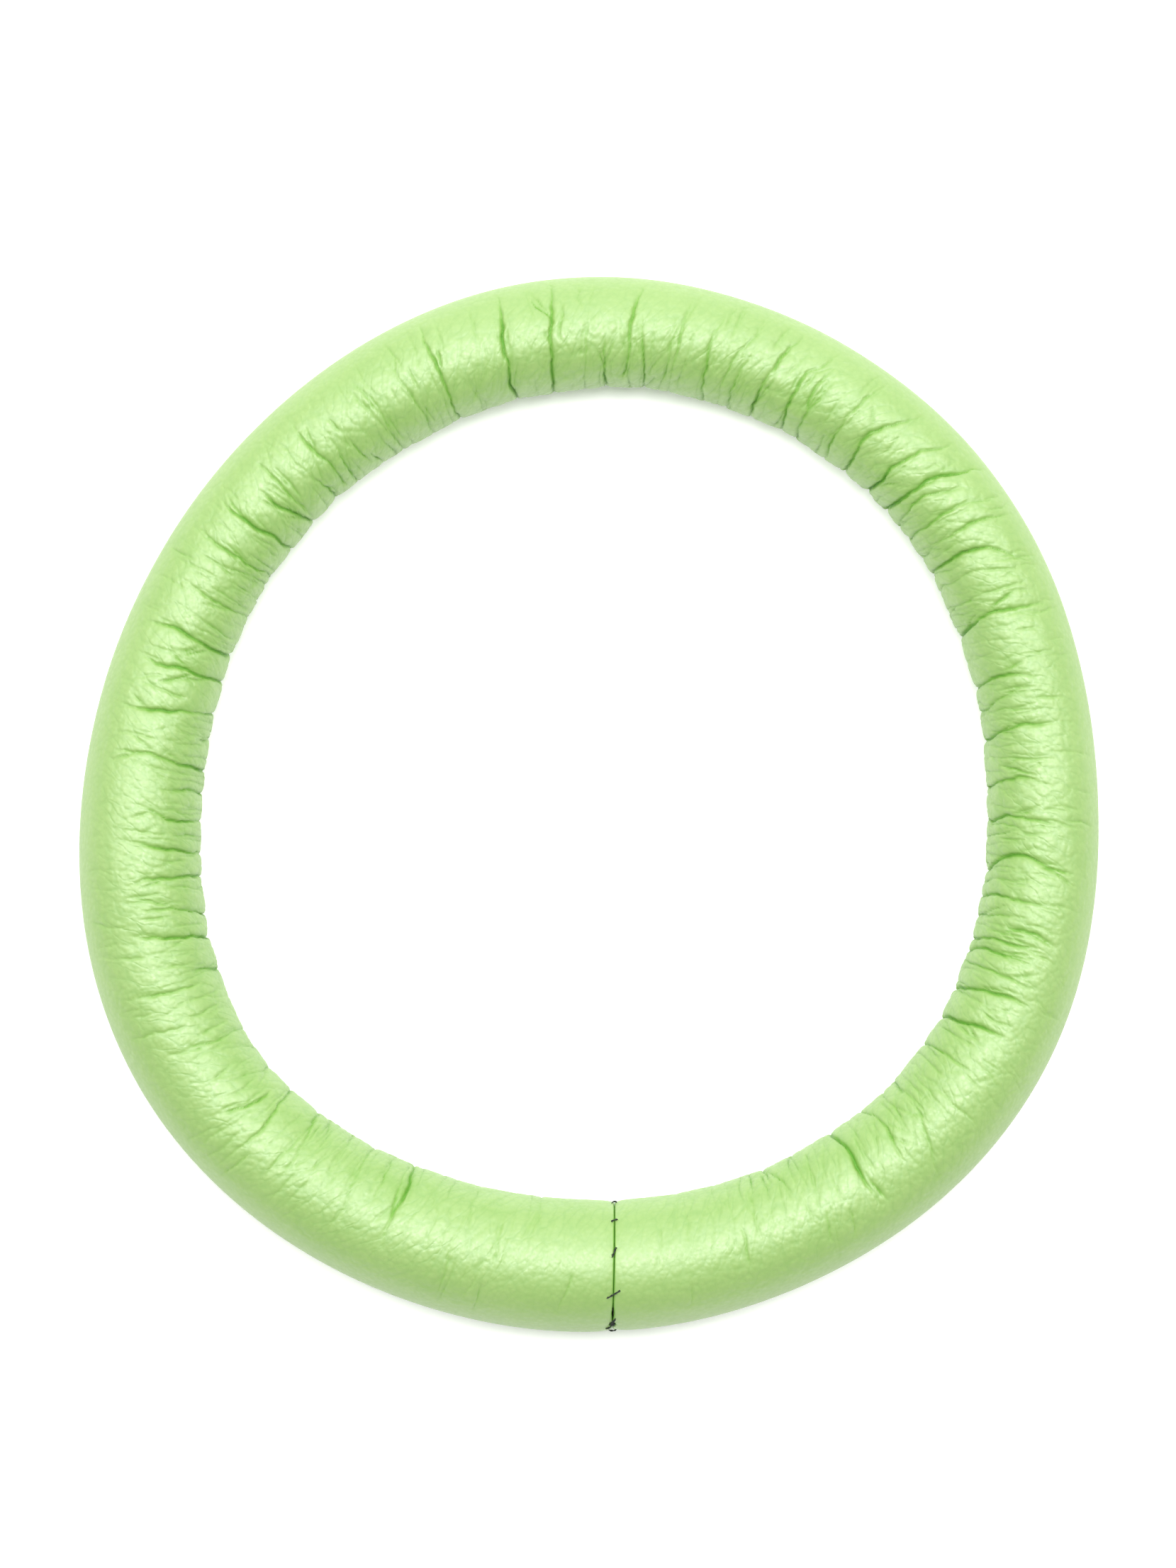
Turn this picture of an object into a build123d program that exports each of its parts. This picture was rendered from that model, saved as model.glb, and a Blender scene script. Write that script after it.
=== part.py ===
"""A padded leather wristband ring, in millimetres, lying flat with +Z up.

A slim leather strip is sewn along its length into a sleeve, with both edges turned in.
A slotted foam sleeve on a flexible plastic tube fills it.
The tube is closed into a ring by a short rod, the joint is wrapped with tape, and
the sleeve's two ends are drawn together over the joint by hand with dark thread.

The origin is under the middle of the ring, on the surface that it lies on.
Angles round the ring are counted anticlockwise from +X, seen from above.
Angles round the sleeve are counted from its outward side, over its top.
"""

import os
from math import asin, cos, degrees, pi, radians, sin, tan

from build123d import *

# The ring's centre line: a mean radius, and how it swings in and out as it goes round.
# Each swing is (times round the ring, millimetres, angle of its first peak).
RING_RADIUS = 37.5
RING_SWINGS = ((2, 0.70, 69), (3, 0.60, 85), (4, 0.26, 42), (6, 0.12, 32))
RING_SHIFT = (0.32, -0.17)

# The outside radius of the padded sleeve, which is fattest near the closing seam.
SLEEVE_RADIUS = 4.68
SLEEVE_SWINGS = ((1, 0.39, 253), (2, 0.12, 84), (4, 0.10, 2), (5, 0.08, 40))
REST_DEPTH = 0.10  # how far the soft sleeve flattens where it lies on a surface

# The leather strip and its two seams.
LEATHER = 0.7
CLOSING_SEAM_AT = -87.6
CLOSING_GAP = 0.16
NECK_DEPTH = 0.26  # how far the leather dips in at the closing seam
NECK_LENGTH = 1.3
LONG_SEAM_AT = 234
LONG_SEAM_SLIT = 0.10
SEAM_ALLOWANCE = 1.25  # how deep the turned-in edges reach
SHOULDER = 0.3  # the bevel where the leather turns in

# The filling.
CORE_RADIUS = 1.8
CORE_BORE = 0.9
WRAP_RADIUS = 2.35
WRAP_LENGTH = 16.0
WRAP_CLEARANCE = 0.10
ROD_LENGTH = 12.0
FOAM_SLOT = 2.5  # the slot that the turned-in edges lie in
FOAM_GAP = 2.4  # between the foam's ends, as room for the closing stitches
CLEARANCE = 0.05

# Threads.
MACHINE_THREAD = 0.12  # radius
MACHINE_STITCH = 3.6  # from one stitch to the next
MACHINE_STITCH_GAP = 0.9  # between the centres of neighbouring stitches' ends
MACHINE_STITCH_LIFT = 0.02  # between a stitch and the leather that it lies on
MACHINE_SEAM_MARGIN = 2.0  # between the closing seam and the nearest machine stitch
HAND_THREAD = 0.11  # radius
HAND_STITCHES = 10
HAND_STITCH_WIDTH = 1.1
HAND_STITCH_SLANT = 2  # degrees round the sleeve, from one side of the seam to the other
HAND_STITCH_LIFT = 0.01  # between a stitch and the leather that it lies on
NEEDLE_HOLE = 0.16  # radius
HOLE_OVERSHOOT = 0.3
KNOT_RADIUS = 0.22

STATION_STEP = 15  # degrees between the sections that the shapes are lofted through


def swung(mean, swings, angle):
    """A size that swings about its mean as it goes round the ring."""
    return mean + sum(mm * cos(radians(times * (angle - peak))) for times, mm, peak in swings)


def sleeve_radius(angle):
    """The padded sleeve's outside radius at an angle round the ring."""
    return swung(SLEEVE_RADIUS, SLEEVE_SWINGS, angle)


def centre_point(angle):
    """A point of the sleeve's centre line, at the height that rests it on Z = 0."""
    reach = swung(RING_RADIUS, RING_SWINGS, angle)
    return Vector(
        RING_SHIFT[0] + reach * cos(radians(angle)),
        RING_SHIFT[1] + reach * sin(radians(angle)),
        sleeve_radius(angle) - REST_DEPTH,
    )


def section_plane(angle, turned=0):
    """The plane across the sleeve, its x axis outwards, or turned from that over the top."""
    ahead, behind = centre_point(angle + 0.5), centre_point(angle - 0.5)
    along = Vector(ahead.X - behind.X, ahead.Y - behind.Y, 0).normalized()
    outwards = Vector(along.Y, -along.X, 0)
    x_axis = outwards * cos(radians(turned)) + Vector(0, 0, sin(radians(turned)))
    return Plane(origin=centre_point(angle), x_dir=x_axis, z_dir=-along)


def turn_for(distance):
    """The angle round the ring that a distance along the centre line takes."""
    return degrees(distance / RING_RADIUS)


def stations(gap):
    """(angle, distance from the nearer end) of each section of a piece with two ends."""
    first = CLOSING_SEAM_AT + turn_for(gap / 2)
    last = CLOSING_SEAM_AT + 360 - turn_for(gap / 2)
    near = [turn_for(share * NECK_LENGTH) for share in (0, 0.35, 1)]
    middle = [CLOSING_SEAM_AT + n * STATION_STEP for n in range(1, 360 // STATION_STEP)]
    angles = [first + turn for turn in near] + middle + [last - turn for turn in reversed(near)]
    return [(a, RING_RADIUS * radians(min(a - first, last - a))) for a in angles]


def surface_radius(angle, distance):
    """The leather's outside radius, which dips in at the closing seam."""
    dip = NECK_DEPTH * max(0.0, 1 - distance / NECK_LENGTH) ** 2
    return sleeve_radius(angle) - dip


def on_circle(radius, angle):
    """A point on a circle in a section plane."""
    return Vector(radius * cos(radians(angle)), radius * sin(radians(angle)), 0)


def arc(radius, first, last):
    """A round arc of up to a quarter turn, as a cubic curve."""
    pull = 4 / 3 * tan(radians(last - first) / 4) * radius
    start, end = on_circle(radius, first), on_circle(radius, last)
    leaving, coming = on_circle(pull, first + 90), on_circle(pull, last + 90)
    return Bezier(start, start + leaving, end - coming, end)


def sleeve_section(plane, radius):
    """The leather strip's section: a round wall whose two edges turn in beside a slit along x."""
    inner = radius - LEATHER
    slit = LONG_SEAM_SLIT / 2
    edge = slit + LEATHER
    tip = inner - SEAM_ALLOWANCE
    lip_angle = degrees(asin((slit + SHOULDER) / radius))
    edge_angle = degrees(asin(edge / inner))
    with BuildSketch(plane) as section:
        with BuildLine():
            for side in (1, -1):
                arc(radius, side * 180, side * 90)
                arc(radius, side * 90, side * lip_angle)
                lip = on_circle(radius, side * lip_angle)
                Polyline(
                    lip,
                    (lip.X - SHOULDER, side * slit),
                    (tip, side * slit),
                    (tip, side * edge),
                    on_circle(inner, side * edge_angle),
                )
                arc(inner, side * edge_angle, side * 90)
                arc(inner, side * 90, side * 180)
        make_face()
    return section.sketch


def foam_section(plane, radius):
    """The foam sleeve's section, slotted along x for the leather's turned-in edges."""
    inner = CORE_RADIUS + CLEARANCE
    outer_angle = degrees(asin(FOAM_SLOT / 2 / radius))
    inner_angle = degrees(asin(FOAM_SLOT / 2 / inner))
    with BuildSketch(plane) as section:
        with BuildLine():
            for side in (1, -1):
                arc(radius, side * 180, side * 90)
                arc(radius, side * 90, side * outer_angle)
                Line(on_circle(radius, side * outer_angle), on_circle(inner, side * inner_angle))
                arc(inner, side * inner_angle, side * 90)
                arc(inner, side * 90, side * 180)
        make_face()
    return section.sketch


def discs(radius, first, last):
    """Round sections along the centre line, from one angle to another."""
    count = max(6, round((last - first) / STATION_STEP))
    found = []
    for n in range(count + 1):
        with BuildSketch(section_plane(first + (last - first) * n / count)) as disc:
            with BuildLine():
                for quarter in range(0, 360, 90):
                    arc(radius, quarter, quarter + 90)
            make_face()
        found.append(disc.sketch)
    return found


def about_seam(length):
    """The angles at the two ends of a piece of that length, centred on the closing seam."""
    return CLOSING_SEAM_AT - turn_for(length / 2), CLOSING_SEAM_AT + turn_for(length / 2)


def once_round(gap):
    """The angles at the two ends of a piece that goes once round, with a gap at the seam."""
    return CLOSING_SEAM_AT + turn_for(gap / 2), CLOSING_SEAM_AT + 360 - turn_for(gap / 2)


def by_seam(along, depth, turned):
    """A point near the closing seam: so far along the ring, and in from the leather's surface."""
    angle = CLOSING_SEAM_AT + turn_for(along)
    plane = section_plane(angle, turned)
    return plane.origin + plane.x_dir * (surface_radius(angle, abs(along) - CLOSING_GAP / 2) - depth)


# Where the hand thread crosses the leather: (along the ring, angle round the sleeve).
# It starts on one side of the long seam and ends on the other.
hand_step = 360 / HAND_STITCHES
first_stitch = LONG_SEAM_AT - hand_step / 2
needle_points = [
    (side * HAND_STITCH_WIDTH / 2, first_stitch - n * hand_step + side * HAND_STITCH_SLANT / 2)
    for n in range(HAND_STITCHES)
    for side in (-1, 1)
]

# The leather cover: one strip, lofted round the ring, flat where it rests, with needle holes.
with BuildPart() as leather_cover:
    loft(
        [
            sleeve_section(section_plane(angle, LONG_SEAM_AT), surface_radius(angle, distance))
            for angle, distance in stations(CLOSING_GAP)
        ]
    )
    split(bisect_by=Plane.XY, keep=Keep.TOP)
    for along, turned in needle_points:
        low = by_seam(along, LEATHER + HOLE_OVERSHOOT, turned)
        high = by_seam(along, -HOLE_OVERSHOOT, turned)
        with BuildSketch(Plane(origin=low, z_dir=high - low)):
            Circle(NEEDLE_HOLE)
        extrude(amount=(high - low).length, mode=Mode.SUBTRACT)
leather_cover.part.label = "leather_cover"

# The foam sleeve, bored out where the core is wrapped.
with BuildPart() as foam_sleeve:
    loft(
        [
            foam_section(section_plane(a, LONG_SEAM_AT), sleeve_radius(a) - LEATHER - CLEARANCE)
            for a, _ in stations(FOAM_GAP)
        ]
    )
    loft(discs(WRAP_RADIUS + CLEARANCE, *about_seam(WRAP_LENGTH + WRAP_CLEARANCE)), mode=Mode.SUBTRACT)
foam_sleeve.part.label = "foam_sleeve"

# The flexible tube at the core, closed into a ring, end to end.
with BuildPart() as core_tube:
    loft(discs(CORE_RADIUS, *once_round(CLOSING_GAP)))
    loft(discs(CORE_BORE, *once_round(0)), mode=Mode.SUBTRACT)
core_tube.part.label = "core_tube"

# The rod pushed into both ends of the tube.
with BuildPart() as joining_rod:
    loft(discs(CORE_BORE - CLEARANCE, *about_seam(ROD_LENGTH)))
joining_rod.part.label = "joining_rod"

# The tape wound round the joint in the tube.
with BuildPart() as joint_wrap:
    loft(discs(WRAP_RADIUS, *about_seam(WRAP_LENGTH)))
    loft(discs(CORE_RADIUS + WRAP_CLEARANCE, *about_seam(WRAP_LENGTH + 1)), mode=Mode.SUBTRACT)
joint_wrap.part.label = "joint_wrap"

# One stitch of the machine-sewn long seam. It lies on one turned-in edge, and both its
# ends go into the leather, towards the thread on the other side.
stitch_half = (MACHINE_STITCH - MACHINE_STITCH_GAP) / 2
stitch_out = LONG_SEAM_SLIT / 2 + LEATHER + MACHINE_THREAD + MACHINE_STITCH_LIFT
stitch_in = MACHINE_THREAD + MACHINE_STITCH_LIFT
with BuildPart() as machine_stitch:
    with BuildLine() as stitch_line:
        FilletPolyline(
            (0, stitch_in, -stitch_half),
            (0, stitch_out, -stitch_half),
            (0, stitch_out, stitch_half),
            (0, stitch_in, stitch_half),
            radius=2 * MACHINE_THREAD,
        )
    with BuildSketch(Plane(origin=stitch_line.line @ 0, z_dir=(0, 1, 0))):
        Circle(MACHINE_THREAD)
    sweep(path=stitch_line.line)

seam_reach = RING_RADIUS + (SLEEVE_RADIUS - LEATHER - SEAM_ALLOWANCE / 2) * cos(radians(LONG_SEAM_AT))
seam_run = 2 * pi * seam_reach - 2 * MACHINE_SEAM_MARGIN
stitch_count = int(seam_run // MACHINE_STITCH)
stitch_places = []
for n in range(stitch_count):
    at = CLOSING_SEAM_AT + 180 + (n - (stitch_count - 1) / 2) * degrees(MACHINE_STITCH / seam_reach)
    depth = sleeve_radius(at) - LEATHER - SEAM_ALLOWANCE / 2
    stitch_places.append(section_plane(at, LONG_SEAM_AT).location * Location((depth, 0, 0)))

with BuildPart() as seam_needle_thread:
    with Locations(*stitch_places):
        add(machine_stitch.part)
seam_needle_thread.part.label = "seam_needle_thread"

with BuildPart() as seam_bobbin_thread:
    with Locations(*[place * Location((0, 0, 0), (180, 0, 0)) for place in stitch_places]):
        add(machine_stitch.part)
seam_bobbin_thread.part.label = "seam_bobbin_thread"

# The hand thread that closes the sleeve: over the seam, in, and on under the leather,
# with a knot at each end.
over, under = -HAND_THREAD - HAND_STITCH_LIFT, LEATHER + HAND_THREAD + CLEARANCE
knot_depth = LEATHER + KNOT_RADIUS + CLEARANCE
hand_points = []
for along, turned in needle_points:
    depths = (under, over) if along < 0 else (over, under)
    hand_points += [by_seam(along, depth, turned) for depth in depths]
for end in (0, -1):
    hand_points[end] = by_seam(needle_points[end][0], knot_depth, needle_points[end][1])
with BuildPart() as closing_thread:
    with BuildLine() as hand_line:
        FilletPolyline(*hand_points, radius=1.5 * HAND_THREAD)
    with BuildSketch(Plane(origin=hand_line.line @ 0, z_dir=hand_line.line % 0)):
        Circle(HAND_THREAD)
    sweep(path=hand_line.line)
    with Locations(hand_points[0], hand_points[-1]):
        Sphere(KNOT_RADIUS)
closing_thread.part.label = "closing_thread"

os.makedirs("parts", exist_ok=True)
pieces = (
    leather_cover,
    foam_sleeve,
    core_tube,
    joining_rod,
    joint_wrap,
    seam_needle_thread,
    seam_bobbin_thread,
    closing_thread,
)
for piece in pieces:
    export_step(piece.part, f"parts/{piece.part.label}.step")
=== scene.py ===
"""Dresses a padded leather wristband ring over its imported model.

The ring lies flat with +Z up. Sizes are in millimetres until a mesh is made, and angles are
in degrees. Angles round the ring run anticlockwise from +X, seen from above. Angles round
the sleeve run from its outward side, over its top, to its inner side at 180.
"""

import logging
import math
from collections.abc import Sequence
from dataclasses import dataclass
from enum import Enum

import bpy
import numpy as np
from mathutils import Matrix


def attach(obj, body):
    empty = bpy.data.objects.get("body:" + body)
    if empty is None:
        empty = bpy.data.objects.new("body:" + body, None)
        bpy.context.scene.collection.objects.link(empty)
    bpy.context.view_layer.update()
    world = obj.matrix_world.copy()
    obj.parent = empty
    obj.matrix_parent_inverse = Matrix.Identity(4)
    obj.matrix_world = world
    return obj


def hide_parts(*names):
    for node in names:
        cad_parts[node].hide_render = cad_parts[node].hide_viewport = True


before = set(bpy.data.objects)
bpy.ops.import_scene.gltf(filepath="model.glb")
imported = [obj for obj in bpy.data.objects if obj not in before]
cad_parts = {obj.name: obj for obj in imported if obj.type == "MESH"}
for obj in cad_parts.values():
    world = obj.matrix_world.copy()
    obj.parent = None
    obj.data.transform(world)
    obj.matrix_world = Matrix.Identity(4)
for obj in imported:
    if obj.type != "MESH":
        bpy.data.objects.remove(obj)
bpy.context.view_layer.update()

LOG = logging.getLogger("wristband")
MM = 0.001
BODY = "root"
LONG_SEAM_AT = 234.0
UP = np.array((0.0, 0.0, 1.0))


class Side(Enum):
    """The two faces of the leather."""

    GRAIN = 0
    FLESH = 1


@dataclass(frozen=True)
class RingForm:
    """The ring's centre line and the sleeve's thickness along it.

    Each swing is (times round the ring, millimetres, angle of its first peak).

    Attributes:
        ring_radius: The centre line's mean radius.
        ring_swings: How the centre line swings in and out.
        shift: How far the centre line's middle is from the origin.
        sleeve_radius: The padded sleeve's mean outside radius.
        sleeve_swings: How that radius swings.
        rest_depth: How far the sleeve flattens where it lies.
        seam_at: The closing seam's angle round the ring.
    """

    ring_radius: float = 37.5
    ring_swings: tuple = ((2, 0.70, 69), (3, 0.60, 85), (4, 0.26, 42), (6, 0.12, 32))
    shift: tuple = (0.32, -0.17)
    sleeve_radius: float = 4.68
    sleeve_swings: tuple = ((1, 0.39, 253), (2, 0.12, 84), (4, 0.10, 2), (5, 0.08, 40))
    rest_depth: float = 0.10
    seam_at: float = -87.6

    def swung(self, mean: float, swings: tuple, angle: np.ndarray) -> np.ndarray:
        """Return a size that swings about its mean as it goes round the ring.

        Args:
            mean: The size it swings about.
            swings: The swings, as the class describes.
            angle: Angles round the ring.

        Returns:
            The size at each angle.
        """
        angle = np.asarray(angle, dtype=float)
        return mean + sum(mm * np.cos(np.radians(n * (angle - peak))) for n, mm, peak in swings)

    def sleeve(self, angle: np.ndarray) -> np.ndarray:
        """Return the sleeve's outside radius at each angle round the ring."""
        return self.swung(self.sleeve_radius, self.sleeve_swings, angle)

    def centre(self, angle: np.ndarray) -> np.ndarray:
        """Return the centre line's points at each angle round the ring."""
        reach = self.swung(self.ring_radius, self.ring_swings, angle)
        turn = np.radians(angle)
        return np.stack(
            (
                self.shift[0] + reach * np.cos(turn),
                self.shift[1] + reach * np.sin(turn),
                self.sleeve(angle) - self.rest_depth,
            ),
            axis=-1,
        )

    def outwards(self, angle: np.ndarray) -> np.ndarray:
        """Return the level direction out of the ring, square to its centre line."""
        angle = np.asarray(angle, dtype=float)
        along = self.centre(angle + 0.5) - self.centre(angle - 0.5)
        out = np.stack((along[..., 1], -along[..., 0], np.zeros_like(angle)), axis=-1)
        return out / np.linalg.norm(out, axis=-1, keepdims=True)

    def place(self, angle: np.ndarray, reach: np.ndarray, turned: np.ndarray) -> np.ndarray:
        """Return points about the centre line.

        Args:
            angle: Angles round the ring.
            reach: Distances from the centre line.
            turned: Angles round the sleeve.

        Returns:
            The points, with x, y and z on the last axis.
        """
        turn = np.radians(turned)[..., None]
        spoke = np.cos(turn) * self.outwards(angle) + np.sin(turn) * UP
        return self.centre(angle) + np.asarray(reach)[..., None] * spoke

    def turn_for(self, distance: np.ndarray) -> np.ndarray:
        """Return the angle round the ring that a distance along the centre line takes."""
        return np.degrees(np.asarray(distance) / self.ring_radius)


@dataclass(frozen=True)
class Crease:
    """One crease in the leather.

    Attributes:
        depth: How deep it is, 1 for a strong one.
        line: Its points, each an angle round the ring and a share of the sleeve's width,
            which is 0 at the ring's inner edge and 1 at its outer edge.
        under: Whether it lies on the underside.
    """

    depth: float
    line: tuple
    under: bool = False


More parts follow.
